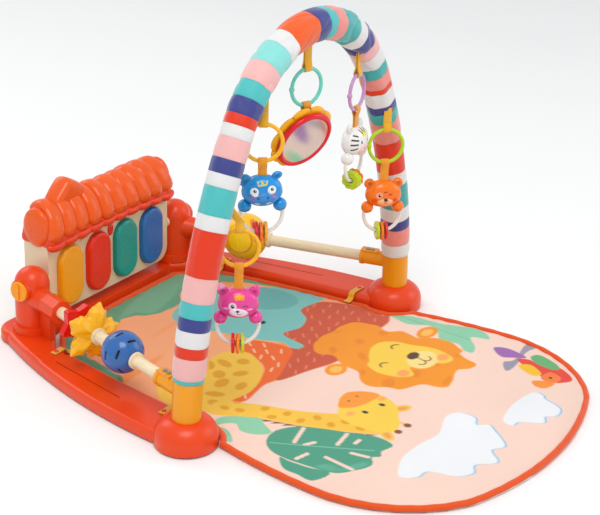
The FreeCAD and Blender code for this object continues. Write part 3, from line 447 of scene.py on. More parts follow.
def metal(name, colour, rough=0.3):
    look = Look(name)
    fine = look.noise(700.0, 4.0)
    look.set(Base_Color=look.mix(look.range(fine, 0, 0.3), rgba(colour), rgba(shade(colour, 0.7))),
             Metallic=1.0,
             Roughness=look.range(look.noise(220.0), rough - 0.08, rough + 0.12),
             Normal=look.bump(fine, 0.2, 0.0001))
    return look.material


def board_look(name):
    look = Look(name)
    traces = look.add("ShaderNodeTexBrick", {"Vector": look.place, "Scale": 60.0, "Mortar Size": 0.03,
                                             "Color1": rgba((0.05, 0.36, 0.2)),
                                             "Color2": rgba((0.06, 0.42, 0.23)),
                                             "Mortar": rgba((0.55, 0.62, 0.3))}).outputs["Color"]
    look.set(Base_Color=traces, Roughness=0.35, Normal=look.bump(look.noise(400.0), 0.2, 0.0002),
             Coat_Weight=0.3)
    return look.material


def cells_look(name):
    look = Look(name)
    bands = look.add("ShaderNodeTexWave", {"Vector": look.place, "Scale": 12.0},
                     bands_direction="Z").outputs["Fac"]
    look.set(Base_Color=look.mix(look.range(bands, 0, 1, 0.45, 0.55), rgba((0.15, 0.16, 0.18)),
                                 rgba((0.75, 0.6, 0.25))),
             Roughness=look.range(look.noise(300.0), 0.25, 0.4), Metallic=0.4)
    return look.material


def film_look(name):
    """Mirror film: nearly clean silver with faint ripples and a dusting of fine marks."""
    look = Look(name)
    smear = look.noise(35.0, 5.0)
    look.set(Base_Color=look.mix(look.range(smear, 0, 0.5), rgba((0.93, 0.95, 0.95)),
                                 rgba((0.84, 0.87, 0.87))),
             Metallic=1.0, Roughness=look.range(smear, 0.05, 0.14),
             Normal=look.bump(look.noise(16.0, 1.0), 0.12, 0.001))
    return look.material


RED = (0.895, 0.315, 0.165)
ORANGE = (0.915, 0.395, 0.170)
LOOKS = {
    "frame_shell": plastic("shell_red", RED, 0.33, 0.3),
    "roof_shell": plastic("roof_orange", ORANGE, 0.27, 0.4),
    "roof_trim": plastic("roof_trim_red", (0.88, 0.29, 0.155), 0.3, 0.35),
    "panel_shell": plastic("panel_cream", (0.925, 0.865, 0.745), 0.4, 0.15),
    "yellow_part": plastic("fitting_amber", (0.94, 0.64, 0.19), 0.33, 0.3),
    "knob": plastic("knob_amber", (0.975, 0.64, 0.14), 0.3, 0.3),
    "cream_bar": pale_bar("bar_cream"),
    "arch_tube": plastic("tube_white", (0.93, 0.93, 0.91), 0.35, 0.1),
    "pad_rubber": plastic("foot_rubber", (0.16, 0.16, 0.17), 0.75, 0.0, 0.7),
    "screw_steel": metal("screw_steel", (0.72, 0.72, 0.72), 0.32),
    "speaker_metal": metal("speaker_metal", (0.55, 0.55, 0.56), 0.45),
    "board": board_look("circuit_green"),
    "dome_rubber": plastic("dome_silicone", (0.75, 0.76, 0.78), 0.5, 0.0, 0.3),
    "cell": cells_look("cell_wrap"),
    "black_plastic": plastic("switch_black", (0.09, 0.09, 0.10), 0.42, 0.1, 0.6),
    "key_yellow": plastic("key_amber", (0.965, 0.69, 0.20), 0.24, 0.5),
    "key_red": plastic("key_red", (0.90, 0.25, 0.14), 0.24, 0.5),
    "key_teal": plastic("key_teal", (0.22, 0.62, 0.58), 0.24, 0.5),
    "key_blue": plastic("key_blue", (0.215, 0.44, 0.70), 0.24, 0.5),
    "red_plastic": plastic("star_red", (0.87, 0.16, 0.13), 0.28, 0.4, glow=0.1),
    "star_yellow": plastic("star_yellow", (0.985, 0.745, 0.17), 0.27, 0.45, glow=0.1),
    "ball_blue": plastic("ball_blue", (0.235, 0.41, 0.68), 0.18, 0.6),
    "ball_yellow": plastic("ball_yellow", None, 0.22, 0.5, glow=0.08),
    "dark_slot": plastic("slot_shadow", (0.05, 0.08, 0.14), 0.6, 0.0),
    "ring_turquoise": plastic("ring_turquoise", (0.50, 0.85, 0.79), 0.24, 0.4, glow=0.2),
    "ring_lilac": plastic("ring_lilac", (0.79, 0.62, 0.80), 0.24, 0.4, glow=0.2),
    "ring_lime": plastic("ring_lime", (0.72, 0.86, 0.22), 0.24, 0.4, glow=0.2),
    "ring_yellow": plastic("ring_yellow", (0.96, 0.75, 0.22), 0.24, 0.4, glow=0.2),
    "handle_white": plastic("handle_white", (0.95, 0.945, 0.925), 0.26, 0.4, glow=0.15),
    "toy_paint": plastic("toy_paint", None, 0.2, 0.55, 0.15, 0.03, glow=0.08),
    "bead": plastic("bead_paint", None, 0.22, 0.5, 0.2, 0.03, glow=0.15),
    "mirror_film": film_look("mirror_film"),
    "mirror_rim": plastic("rim_crimson", (0.86, 0.17, 0.22), 0.22, 0.5),
    "petal": plastic("petal_amber", (0.985, 0.735, 0.19), 0.26, 0.4, glow=0.12),
    "lens": plastic("lens_red", (0.91, 0.22, 0.12), 0.12, 0.8, 0.05, 0.02, glow=0.3),
    "sleeve": cloth("sleeve_satin", None, 2100.0, 0.45, 0.52, 0.55, 0.35, 0.04),
    "mat": cloth("mat_print", None, 1500.0, 0.3, 0.82, 0.28, 0.55, 0.03),
    "mat_back": cloth("mat_back", (0.90, 0.88, 0.85), 1300.0, 0.2, 0.85),
    "piping": cloth("piping_twill", (0.90, 0.37, 0.20), 900.0, 0.35, 0.7, 0.2, 0.8),
    "webbing": webbing("webbing_yellow", (0.955, 0.735, 0.20)),
    "webbing_amber": webbing("webbing_amber", (0.955, 0.655, 0.20)),
    "thread": cloth("stitch_thread", (0.96, 0.87, 0.72), 3000.0, 0.2, 0.7),
}


def finish(node, look):
    """Gives a carried-over CAD node its new material in every slot."""
    data = NODES[node].data
    if not data.materials:
        data.materials.append(LOOKS[look])
    for k in range(len(data.materials)):
        data.materials[k] = LOOKS[look]
    for k, slot in enumerate(NODES[node].material_slots):
        slot.material = LOOKS[look]


for node, look in {
    "left_rail": "frame_shell", "right_rail": "frame_shell", "rear_crossbar": "frame_shell",
    "left_column": "frame_shell", "right_column": "frame_shell", "rubber_pads": "pad_rubber",
    "frame_screws": "screw_steel", "left_leg_socket": "yellow_part", "right_leg_socket": "yellow_part",
    "left_arch_tube": "arch_tube", "right_arch_tube": "arch_tube", "left_toy_bar": "cream_bar",
    "right_toy_bar": "cream_bar", "piano_front": "panel_shell", "piano_rear": "panel_shell",
    "speaker": "speaker_metal", "circuit_board": "board", "switch_domes": "dome_rubber",
    "battery_door": "panel_shell", "batteries": "cell", "piano_screws": "screw_steel",
    "key_yellow": "key_yellow", "key_red": "key_red", "key_teal": "key_teal", "key_blue": "key_blue",
    "power_switch": "black_plastic", "left_tilt_knob": "knob", "right_tilt_knob": "knob",
    "red_star": "red_plastic",
    "hippo_ring": "ring_yellow", "mirror_ring": "ring_turquoise", "bear_ring": "ring_lime",
    "zebra_ring": "ring_lilac", "kitten_ring": "ring_yellow", "mirror_glass": "mirror_film",
    "mirror_rim": "mirror_rim", "hippo_handle": "handle_white", "zebra_handle": "handle_white",
    "bear_handle": "handle_white", "kitten_handle": "handle_white",
}.items():
    finish(node, look)
floor_mesh = bpy.data.meshes.new("floor")
floor_mesh.from_pydata([(-6, -6, -0.0005), (6, -6, -0.0005), (6, 6, -0.0005), (-6, 6, -0.0005)], [],
                       [(0, 1, 2, 3)])
floor_look = Look("floor_paper")
floor_look.set(Base_Color=floor_look.mix(floor_look.range(floor_look.noise(3.0), 0, 1),
                                         (0.90, 0.90, 0.895, 1),
                                         (0.93, 0.93, 0.925, 1)), Roughness=0.85)
floor_mesh.materials.append(floor_look.material)
floor = bpy.data.objects.new("floor", floor_mesh)
scene.collection.objects.link(floor)
print("materials", len(LOOKS))

# %% [markdown]
# ## The arch's sleeve
# A padded satin tube on the arch's centreline, sewn from short bands. The line is two wide leg arcs and one
# top
# arc. The bands puff between their seams, and gathers and folds run across them where the arch bends.

# %% The arch's sleeve
TOP_R, SHOULDER, ARCH_H = 0.160, math.radians(60), 0.448
LEG_R, LEG_X, LEG_Z = 0.7199, -0.4848, 0.00807
LEG_LOW = math.asin((0.081 - LEG_Z) / LEG_R)
LEG_LEN = LEG_R * (math.pi / 2 - SHOULDER - LEG_LOW)
TOP_LEN = 2 * TOP_R * SHOULDER
ARCH_LEN = 2 * LEG_LEN + TOP_LEN


def arch_line(s):
    """The centreline and its inward side at length s from the left leg's bottom: arcs of LEG_R, TOP_R, LEG_R."""
    s = np.asarray(s, float)
    leg_a = LEG_LOW + s / LEG_R
    leg_b = LEG_LOW + (ARCH_LEN - s) / LEG_R
    top = -SHOULDER + (s - LEG_LEN) / TOP_R
    x = np.where(s < LEG_LEN, -(LEG_X + LEG_R * np.cos(leg_a)),
                 np.where(s < LEG_LEN + TOP_LEN, TOP_R * np.sin(top), LEG_X + LEG_R * np.cos(leg_b)))
    z = np.where(s < LEG_LEN, LEG_Z + LEG_R * np.sin(leg_a),
                 np.where(s < LEG_LEN + TOP_LEN, ARCH_H - TOP_R + TOP_R * np.cos(top),
                          LEG_Z + LEG_R * np.sin(leg_b)))
    nx = np.where(s < LEG_LEN, np.cos(leg_a), np.where(s < LEG_LEN + TOP_LEN, -np.sin(top), -np.cos(leg_b)))
    nz = np.where(s < LEG_LEN, -np.sin(leg_a), np.where(s < LEG_LEN + TOP_LEN, -np.cos(top), -np.sin(leg_b)))
    return np.stack([x, 0 * x, z], -1), np.stack([nx, 0 * nx, nz], -1)


WHITE, PINK, NAVY = (0.93, 0.925, 0.925), (0.955, 0.745, 0.735), (0.245, 0.27, 0.53)
TEAL, ROSE, SAIL, PALE_TEAL = (0.39, 0.76, 0.76), (0.885, 0.27, 0.13), (0.93, 0.40, 0.13), (0.60, 0.88, 0.86)
SALMON, DEEP_TEAL, CORAL = (0.94, 0.60, 0.57), (0.33, 0.69, 0.68), (0.93, 0.42, 0.15)
BANDS = [
    (5, TEAL), (31, PINK), (44, ROSE), (63, WHITE), (78, NAVY), (96, TEAL), (125, PINK), (178, ROSE),
    (195, WHITE),
    (227, TEAL), (242, WHITE), (259, NAVY), (283, PINK), (297, WHITE), (309, ROSE), (327, NAVY), (346, TEAL),
    (370, PINK), (397, PALE_TEAL), (416, WHITE), (462, SAIL), (484, NAVY), (499, TEAL), (520, SALMON),
    (552, DEEP_TEAL),
    (571, WHITE), (592, NAVY), (608, PINK), (631, WHITE), (648, DEEP_TEAL), (667, SALMON), (675, ROSE),
    (697, WHITE),
    (709, NAVY), (725, DEEP_TEAL), (758, SALMON), (809, ROSE), (829, WHITE), (866, DEEP_TEAL), (886, WHITE),
    (900, NAVY), (924, SALMON), (960, WHITE),
]
ends = np.array([0] + [b[0] for b in BANDS]) / 1000.0
ends[-1] = ARCH_LEN + 0.002
s = np.sort(np.concatenate([np.linspace(0, ARCH_LEN, 820), ends[1:-1] - 0.0001, ends[1:-1] + 0.0001]))[:,
    None]
a = np.linspace(0, 2 * math.pi, 96, endpoint=False)[None, :]
centre, inward = arch_line(s[:, 0])
which = np.clip(np.searchsorted(ends, s[:, 0], side="right") - 1, 0, len(BANDS) - 1)
share = (s[:, 0] - ends[which]) / (ends[which + 1] - ends[which])
# seams pull in and bands puff: 18.9 mm and up to 0.9 mm more in the middle of a band, less at short bands
length = (ends[which + 1] - ends[which])
belly = np.sin(math.pi * share.clip(0, 1)).clip(0) ** 0.6 * np.minimum(1.0, length / 0.02)
around = a * 0.0195
bend = np.exp(-((s - LEG_LEN - 0.08) / 0.075) ** 2) + np.exp(-((s - ARCH_LEN + LEG_LEN + 0.07) / 0.085) ** 2)
folds = np.abs(np.sin(s * 62 + 1.3 * np.sin(a * 2 + s * 21) + 1.2 * np.cos(a - 0.4) + ripple(s, around, 3, 6,
    10, 40)))
crinkle = ripple(s * 1.0, around * 2.4, 11, 12, 60, 240)
long_fold = ripple(s * 0.35, around * 3.0, 23, 8, 60, 150)
radius = 0.0189 + 0.0009 * belly[:, None] + 0.00020 * crinkle * (0.5 + bend) + 0.00055 * long_fold
radius = radius - bend * 0.0016 * (1 - folds) ** 3 + bend * 0.0008
# the inner side of a bend bunches into deeper folds
radius = radius + bend * (np.cos(a).clip(0) ** 2) * 0.0013 * np.sin(s * 150 + 2 * np.sin(a * 2))
hem = np.exp(-(s / 0.006) ** 2) + np.exp(-((ARCH_LEN - s) / 0.006) ** 2)
radius = np.clip(radius - 0.0008 * hem, 0.0172, 0.0195 + 0.0015 * bend)
skin = centre[:, None] + radius[..., None] * (
    inward[:, None] * np.cos(a)[..., None] + np.array([0.0, 1.0, 0.0]) * np.sin(a)[..., None])
lining_s = np.linspace(ARCH_LEN, 0, 60)
lc, ln = arch_line(lining_s)
lining = lc[:, None] + 0.0116 * (ln[:, None] * np.cos(a)[...,
                                                         None] + np.array([0.0, 1.0, 0.0]) * np.sin(a)[...,
                                                             None])
pick = np.broadcast_to(which[:, None], (s.shape[0], a.shape[1]))
tones = np.array([srgb(*b[1]) for b in BANDS])
# painted shade: each band is painted up to a tenth darker within about a millimetre of its seams, where the seams pull
# in
colour = tones[pick] * (1 - 0.10 * np.exp(-(np.minimum(share, 1 - share)[:, None] * length[:,
    None] / 0.0012) ** 2))[..., None]
rows = np.concatenate([skin, lining])
colours = np.concatenate([colour, np.broadcast_to(srgb(0.92, 0.92, 0.92), lining.shape)])
lengths = np.concatenate([s[:, 0], lining_s, [0]])
uv = np.stack(np.meshgrid(lengths, np.linspace(0, 0.1225, 97), indexing="ij"), -1)
sleeve = surface("sleeve_padding", rows, "frame", LOOKS["sleeve"], wrap=(True, True), uv=uv, paint=colours,
                 slot="striped_fabric", replaces=("arch_sleeve",))
print("sleeve", len(BANDS), "bands over", round(ARCH_LEN, 3), "m")

# %% [markdown]
# ## The mat
# Rows at constant y run from edge to edge of its outline. The top swells in from the bound edge and carries
# slow
# waves, and the print is painted on it as smooth shapes: hills, an elephant, a giraffe, a lion, leaves,
# clouds.


# %% The mat's outline
def arc_points(a, m, b, count=40):
    """Points of the circle's arc from a through m to b, from the perpendicular bisectors' crossing."""
    a, m, b = map(np.array, (a, m, b))
    d = 2 * (a[0] * (m[1] - b[1]) + m[0] * (b[1] - a[1]) + b[0] * (a[1] - m[1]))
    sq = [p @ p for p in (a, m, b)]
    c = np.array([sq[0] * (m[1] - b[1]) + sq[1] * (b[1] - a[1]) + sq[2] * (a[1] - m[1]),
                  sq[0] * (b[0] - m[0]) + sq[1] * (a[0] - b[0]) + sq[2] * (m[0] - a[0])]) / d
    t0, tm, t1 = (math.atan2(*(p - c)[::-1]) for p in (a, m, b))
    tm = t0 + (tm - t0 + math.pi) % (2 * math.pi) - math.pi
    t1 = tm + (t1 - tm + math.pi) % (2 * math.pi) - math.pi
    t = np.linspace(t0, t1, count, endpoint=False)
    return c + np.hypot(*(a - c)) * np.stack([np.cos(t), np.sin(t)], -1)


edge = np.concatenate([
    arc_points((0.0, 301.0), (60.0, 300.6), (119.0, 299.2)),
    np.linspace((119.0, 299.2), (165.0, 259.0), 12, endpoint=False),
    arc_points((165.0, 259.0), (185.8, 140.0), (199.8, 20.9)),
    arc_points((199.8, 20.9), (195.5, 0.0), (222.0, -37.3)),
    arc_points((222.0, -37.3), (235.5, -111.0), (241.0, -185.0)),
    arc_points((241.0, -185.0), (213.5, -276.0), (150.0, -335.0)),
    arc_points((150.0, -335.0), (76.0, -356.2), (0.0, -363.0)), [(0.0, -363.0)],
]) * 0.001


def resampled(curve, count, closed=False):
    """Evenly spaced points along a curve."""
    c = np.vstack([curve, curve[:1]]) if closed else curve
    run = np.concatenate([[0], np.cumsum(np.linalg.norm(np.diff(c, axis=0), axis=1))])
    t = np.linspace(0, run[-1], count, endpoint=not closed)
    return np.stack([np.interp(t, run, c[:, k]) for k in range(c.shape[1])], -1)


def half_width(y):
    return np.interp(-y, -edge[:, 1], edge[:, 0])


BIND = 0.0045
print("mat outline", len(edge), "points")

# %% [markdown]
# ## The print
# Coats are laid one on another where a signed distance is positive. All of it is in metres on the mat.

# %% The print


def shape(*corners):
    return rounded(np.array(corners, float) * 0.001, 7)


SAND, PEACH, DEEP_PEACH, FOREST = (0.985, 0.865, 0.81), (0.985, 0.705, 0.54), (0.975, 0.63, 0.40), (0.43,
    0.655, 0.53)
GROVE, FERN, MINT, LEAF = (0.36, 0.575, 0.46), (0.50, 0.71, 0.58), (0.60, 0.83, 0.70), (0.35, 0.63, 0.53)
TRUNK, CLAY, FLAME, CREAM = (0.53, 0.785, 0.765), (0.80, 0.36, 0.26), (0.94, 0.445, 0.245), (0.985, 0.86,
    0.72)
STRAW, OCHRE, MANE, SUN = (0.975, 0.80, 0.40), (0.90, 0.665, 0.28), (0.955, 0.615, 0.20), (0.985, 0.84, 0.42)
BROWN, INK, BLUSH, CLOUD, CLOUD_EDGE = (0.55, 0.33, 0.17), (0.15, 0.14, 0.16), (0.98, 0.62, 0.45), (0.965,
    0.975, 0.985), (0.62, 0.79, 0.90)


def dashes(c, x, y, area, paint, seed, rows, gap=0.019, tilt=20, length=0.010, width=0.0022):
    """Short brush dashes in staggered rows, only inside an area."""
    r = np.random.default_rng(seed)
    lo, hi = area.min(0), area.max(0)
    for j in range(rows):
        for px in np.arange(lo[0], hi[0], gap):
            p = np.array([px + (j % 2) * gap / 2 + r.uniform(-0.003, 0.003),
                          lo[1] + (j + 0.5) / rows * (hi[1] - lo[1]) + r.uniform(-0.002, 0.002)])
            if inside(p[:1], p[1:], area)[0] < 0.006:
                continue
            t = math.radians(tilt + r.uniform(-18, 18))
            d = np.array([math.cos(t), math.sin(t)]) * length / 2
            box = (abs(x - p[0]) < 0.012) & (abs(y - p[1]) < 0.012)
            c[box] = lay(c[box], stroke(x[box], y[box], p - d, p + d, width), paint)
    return c


def print_on(x, y):
    """The mat's colours at points x, y."""
    c = np.broadcast_to(srgb(*SAND), (*x.shape, 3)).copy()
    wash = ripple(x, y * 2.5, 5, 8, 12, 45)
    peach = shape((-260, 46), (-185, 22), (-128, -3), (-76, 1), (-18, -17), (44, -39), (162, -32), (201, -9),
                  (250, 22), (250, 310), (-260, 310))
    ground = inside(x, y, peach) + 0.0015 * ripple(x, y, 6, 8, 60, 200)
    c = lay(c, ground, PEACH, 0.0012)
    c = lay(c, np.minimum(ground, (ripple(x * 0.5, y * 3.0, 8, 8, 30, 60) - 0.75) * 0.01), DEEP_PEACH, 0.002)
    hill = shape((-260, 100), (-225, 118), (-172, 150), (-150, 215), (-110, 262), (-60, 250), (-38, 256),
                 (6, 229), (40, 227), (60, 242),
                 (85, 250), (130, 225), (160, 180), (185, 120), (260, 86), (260, 340), (-260, 340))
    hill_d = inside(x, y, hill) + 0.0025 * ripple(x, y, 9, 9, 60, 260)
    c = lay(c, hill_d, FOREST, 0.001)
    c = lay(c, np.minimum(hill_d, (ripple(x * 0.4 + y * 0.3, y * 2.4 - x, 10, 8, 18, 50) - 0.7) * 0.012),
            GROVE, 0.0015)
    c = lay(c, np.minimum(hill_d - 0.006, (ripple(x * 0.4 + y, y * 2.0 - x * 0.6, 12, 8, 14,
                                                  40) - 1.0) * 0.012), FERN, 0.002)
    # the dark clearing with the elephant standing in it
    clay = shape((129, 84), (168, 75), (191, 26), (201, -9), (184, -24), (162, -32), (100, -30), (44, -39),
                 (-12, -22), (-57, -4), (-10, 14),
                 (26, 31), (54, 64), (83, 55), (110, 63))
    c = lay(c, inside(x, y, clay), CLAY, 0.001)
    c = dashes(c, x, y, clay, (0.90, 0.55, 0.43), 31, 7, 0.021, 25)
    flame = shape((16, 82), (26, 31), (-10, 12), (-54, -2), (-76, 1), (-123, -4), (-130, 11), (-63, 16),
                  (-30, 38), (-10, 100))
    c = lay(c, inside(x, y, flame), FLAME, 0.001)
    c = dashes(c, x, y, flame, CREAM, 32, 7, 0.021, 35)
    elephant = shape((4, 209), (-5, 180), (8, 120), (21, 78), (33, 49), (28, 28), (43, 22), (54, 62),
                     (83, 55), (110, 63), (129, 84), (162, 79),
                     (182, 80), (195, 100), (185, 130), (171, 150), (140, 185), (90, 215), (40, 222))
    el = inside(x, y, elephant)
    c = lay(c, el, TRUNK, 0.0008)
    c = lay(c, np.minimum(el - 0.002, blob(x, y, 0.128, 0.145, 0.034, 0.048, 20)), (0.45, 0.71, 0.70), 0.0008)
    c = lay(c, blob(x, y, 0.066, 0.103, 0.0052, 0.0034, 20), INK)
    # the giraffe
    body = shape((-92, 79), (-65, 95), (-35, 92), (-18, 67), (-36, 34), (-62, 15), (-98, 5), (-129, 9),
                 (-167, 18), (-185, 45), (-175, 90), (-140, 110), (-110, 95))
    neck = shape((-129, -4), (-117, -32), (-103, -71), (-80, -111), (-60, -130), (-80, -180), (-92, -175),
                 (-117, -129), (-132, -91), (-148, -41), (-169, -3), (-171, 21), (-140, 20))
    c = lay(c, inside(x, y, body), STRAW)
    for k, (px, py) in enumerate(((-118, 78), (-88, 62), (-60, 74), (-42, 58), (-70, 42), (-104, 46),
                                  (-136, 66), (-150, 88), (-132, 36), (-160, 52), (-96, 22), (-76, 88),
                                  (-150, 24), (-118, 98))):
        c = lay(c, np.minimum(inside(x, y, body) - 0.001,
                              blob(x, y, px / 1000, py / 1000, 0.0085 + 0.002 * (k % 3),
                                   0.0065 + 0.0015 * (k % 2), 37 * k)), OCHRE)
    c = lay(c, inside(x, y, neck), STRAW)
    for px, py in ((-130, 2), (-146, -12), (-124, -34), (-136, -52), (-118, -62), (-122, -84), (-104, -96),
                   (-108, -118), (-92, -128), (-94, -150), (-80, -150), (-152, 6)):
        c = lay(c, np.minimum(inside(x, y, neck) - 0.001,
                              blob(x, y, px / 1000, py / 1000, 0.0062, 0.0048, px * 3.0)), OCHRE)
    spine = resampled(np.array([(-150, -36), (-134, -88), (-118, -130), (-94, -176)]) * 0.001, 12)
    for k in range(11):
        tip = spine[k] + np.array([-0.0085, 0.003])
        c = lay(c, inside(x, y, np.array([spine[k], tip, spine[k + 1]])), BROWN)
    head = shape((-68, -102), (-42, -90), (-21, -98), (-9, -121), (-17, -152), (-41, -172), (-67, -186),
                 (-87, -176), (-92, -151), (-88, -120))
    for ex, ey, et in ((-0.088, -0.184, 50), (-0.022, -0.165, -30)):
        c = lay(c, blob(x, y, ex, ey, 0.013, 0.0075, et), STRAW)
        c = lay(c, blob(x, y, ex, ey, 0.008, 0.004, et), (0.93, 0.66, 0.42))
    for a_, b_ in (((-0.068, -0.176), (-0.073, -0.190)), ((-0.052, -0.176), (-0.053, -0.191))):
        c = lay(c, stroke(x, y, a_, b_, 0.004), STRAW)
        c = lay(c, blob(x, y, b_[0], b_[1], 0.0048), BROWN)
    c = lay(c, inside(x, y, head), SUN)
    c = lay(c, inside(x, y, shape((-65, -101), (-35, -90), (-17, -103), (-10, -126), (-38, -124),
                                  (-58, -115))), (0.97, 0.63, 0.33))
    for ex, ey in ((-0.057, -0.134), (-0.029, -0.141)):
        c = lay(c, blob(x, y, ex, ey, 0.0032, 0.0042), INK)
    for ex, ey in ((-0.071, -0.122), (-0.016, -0.133)):
        c = lay(c, blob(x, y, ex, ey, 0.006, 0.0045), BLUSH, 0.002, 0.7)
    for ex, ey in ((-0.046, -0.104), (-0.030, -0.106)):
        c = lay(c, blob(x, y, ex, ey, 0.0017), BROWN)
    # the lion
    mane = shape((44, 7), (70, 18), (92, 15), (127, 12), (141, 4), (150, -22), (146, -45), (160, -60),
                 (152, -84), (165, -100), (168, -127), (158, -150),
                 (147, -153), (140, -168), (133, -183), (119, -182), (103, -172), (71, -184), (56, -180),
                 (44, -155), (20, -140), (13, -132), (4, -112),
                 (2, -95), (23, -70), (30, -45), (42, -23), (36, -5))
    leaf = shape((192, -22), (206, -45), (209, -69), (212, -95), (223, -118), (229, -140), (209, -164),
                 (198, -142), (177, -159), (160, -165), (158, -153),
                 (170, -138), (168, -112), (185, -98), (195, -80), (181, -53))
    c = lay(c, inside(x, y, leaf), MINT)
    c = lay(c, np.minimum(inside(x, y, leaf) - 0.001, stroke(x, y, (0.196, -0.035), (0.190, -0.150), 0.0016)),
            (0.50, 0.74, 0.60))
    c = lay(c, inside(x, y, mane) + 0.0012 * ripple(x, y, 40, 6, 120, 300), MANE)
    c = lay(c, np.minimum(inside(x, y, mane) - 0.004, (ripple(x - y, x + y, 41, 6, 70, 130) - 1.0) * 0.004),
            (0.92, 0.56, 0.16))
    for cx, cy, rx, ry in ((0.175, -0.088, 0.020, 0.012), (0.012, -0.048, 0.017, 0.013)):
        c = lay(c, blob(x, y, cx, cy, rx, ry), MANE)
        c = lay(c, blob(x, y, cx, cy, rx * 0.6, ry * 0.55), (0.98, 0.76, 0.45))
    face = shape((111, -53), (126, -68), (131, -90), (140, -120), (131, -151), (112, -150), (96, -128),
                 (74, -121), (60, -134), (45, -124), (37, -98),
                 (45, -75), (57, -70), (69, -62), (90, -52))
    c = lay(c, inside(x, y, face), SUN)
    c = lay(c, blob(x, y, 0.103, -0.122, 0.026, 0.019, 8), (0.995, 0.90, 0.62))
    c = lay(c, blob(x, y, 0.105, -0.107, 0.0112, 0.0072, 5), (0.33, 0.23, 0.19))
    for cx, cy in ((0.125, -0.140), (0.056, -0.121)):
        c = lay(c, blob(x, y, cx, cy, 0.0095, 0.0075), BLUSH, 0.002, 0.8)
    for cx, cy in ((0.113, -0.078), (0.060, -0.093)):
        ring = 0.0011 - abs(np.hypot(x - cx, y - cy) - 0.0075)
        c = lay(c, np.minimum(ring, y - cy - 0.0015), (0.35, 0.22, 0.15))
    c = lay(c, stroke(x, y, (0.104, -0.113), (0.102, -0.124), 0.0016), (0.35, 0.22, 0.15))
    for side in (-1, 1):
        ring = 0.0009 - abs(np.hypot(x - 0.102 - side * 0.0065, y + 0.124) - 0.0065)
        c = lay(c, np.minimum(ring, -(y + 0.124)), (0.35, 0.22, 0.15))
    # leaves on the near side
    big = shape((-182, -77), (-160, -74), (-137, -88), (-123, -113), (-111, -144), (-99, -176), (-104, -201),
                (-124, -198), (-134, -203), (-142, -196),
                (-152, -203), (-162, -203), (-175, -196), (-195, -179), (-201, -145), (-203, -112),
                (-197, -90))
    bd = inside(x, y, big)
    c = lay(c, inside(x, y, shape((-205, -111), (-205, -124), (-203, -148), (-198, -175), (-222, -168),
                                  (-222, -148), (-220, -126))), LEAF)
    c = lay(c, bd, LEAF)
    c = lay(c, np.minimum(bd - 0.003, (ripple(x + y, y * 2, 50, 6, 40, 90) - 0.9) * 0.004),
            (0.42, 0.70, 0.60))
    for p, q in (((-135, -97), (-168, -106)), ((-115, -145), (-142, -149)), ((-148, -172), (-144, -192)),
                 ((-173, -153), (-177, -191)),
                 ((-165, -119), (-154, -125)), ((-127, -164), (-118, -164)), ((-196, -128), (-180, -132))):
        c = lay(c, stroke(x, y, np.array(p) * 0.001, np.array(q) * 0.001, 0.0052), SAND)
    c = lay(c, np.minimum(bd, stroke(x, y, (-0.186, -0.084), (-0.128, -0.190), 0.0018)), (0.55, 0.80, 0.70))
    for small in (((-189, -5), (-170, -5), (-148, -41), (-155, -54), (-167, -73), (-181, -61), (-185, -42),
                   (-175, -28), (-180, -17)),
                  ((-194, -9), (-190, -25), (-209, -47), (-211, -24))):
        c = lay(c, inside(x, y, shape(*small)), MINT)
    # the parrot on its branch
    for colour, corners in (
        ((0.62, 0.60, 0.66), ((161, -209), (177, -217), (231, -208), (227, -223), (204, -220), (159, -226),
                              (142, -222))),
        ((0.62, 0.42, 0.68), ((189, -180), (199, -194), (196, -216), (190, -227), (181, -215), (173, -199))),
        ((0.89, 0.30, 0.26), ((176, -222), (188, -232), (184, -252), (193, -275), (174, -300), (157, -294),
                              (152, -277))),
        ((0.45, 0.70, 0.48), ((195, -231), (209, -236), (204, -258), (192, -274), (182, -268), (184, -245))),
        ((0.98, 0.78, 0.32), ((166, -228), (176, -241), (163, -262), (152, -257), (156, -240))),
        ((0.96, 0.52, 0.30), ((156, -265), (174, -270), (168, -287), (152, -287), (148, -273))),
        ((0.97, 0.60, 0.30), ((137, -261), (146, -270), (150, -287), (131, -283), (128, -271))),
    ):
        c = lay(c, inside(x, y, shape(*corners)), colour)
    c = lay(c, blob(x, y, 0.160, -0.276, 0.0024), INK)
    for cloud in (((-152, -239), (-118, -226), (-81, -227), (-45, -232), (-8, -220), (12, -226), (14, -248),
                   (0, -258), (8, -270), (1, -281), (-23, -308), (-42, -300), (-62, -318),
                   (-83, -300), (-100, -307), (-118, -295), (-128, -265), (-146, -261), (-156, -250)),
                  ((29, -279), (70, -271), (112, -277), (113, -292), (107, -296), (96, -322), (77, -326),
                   (66, -316), (52, -321), (36, -297), (24, -294))):
        d = inside(x, y, shape(*cloud))
        c = lay(c, d, CLOUD_EDGE)
        c = lay(c, inside(x + 0.0012, y - 0.0022, shape(*cloud)), CLOUD)
    return c * (1 + 0.012 * wash)[..., None]


print("print ready")

# %% [markdown]
# ## The mat's padding, binding and loops

# %% The mat
rows, cols = 420, 380
turn = np.linspace(0, math.pi, rows)
y = (edge[:, 1].min() + BIND) + (edge[:, 1].max() - edge[:, 1].min() - 2 * BIND) * (1 - np.cos(turn)) / 2
y = 0.35 * y + 0.65 * np.linspace(y[0], y[-1], rows)
wide = np.maximum(half_width(y) - BIND, 0)
t = np.linspace(-1, 1, cols)
t = 0.8 * t + 0.2 * np.sin(t * math.pi / 2)
x, yy = wide[:, None] * t[None, :], np.broadcast_to(y[:, None], (rows, cols))
rim = np.minimum(wide[:, None] - abs(x), np.minimum(yy - y[0], y[-1] - yy)).clip(0)
swell = 1 - np.exp(-rim / 0.010)
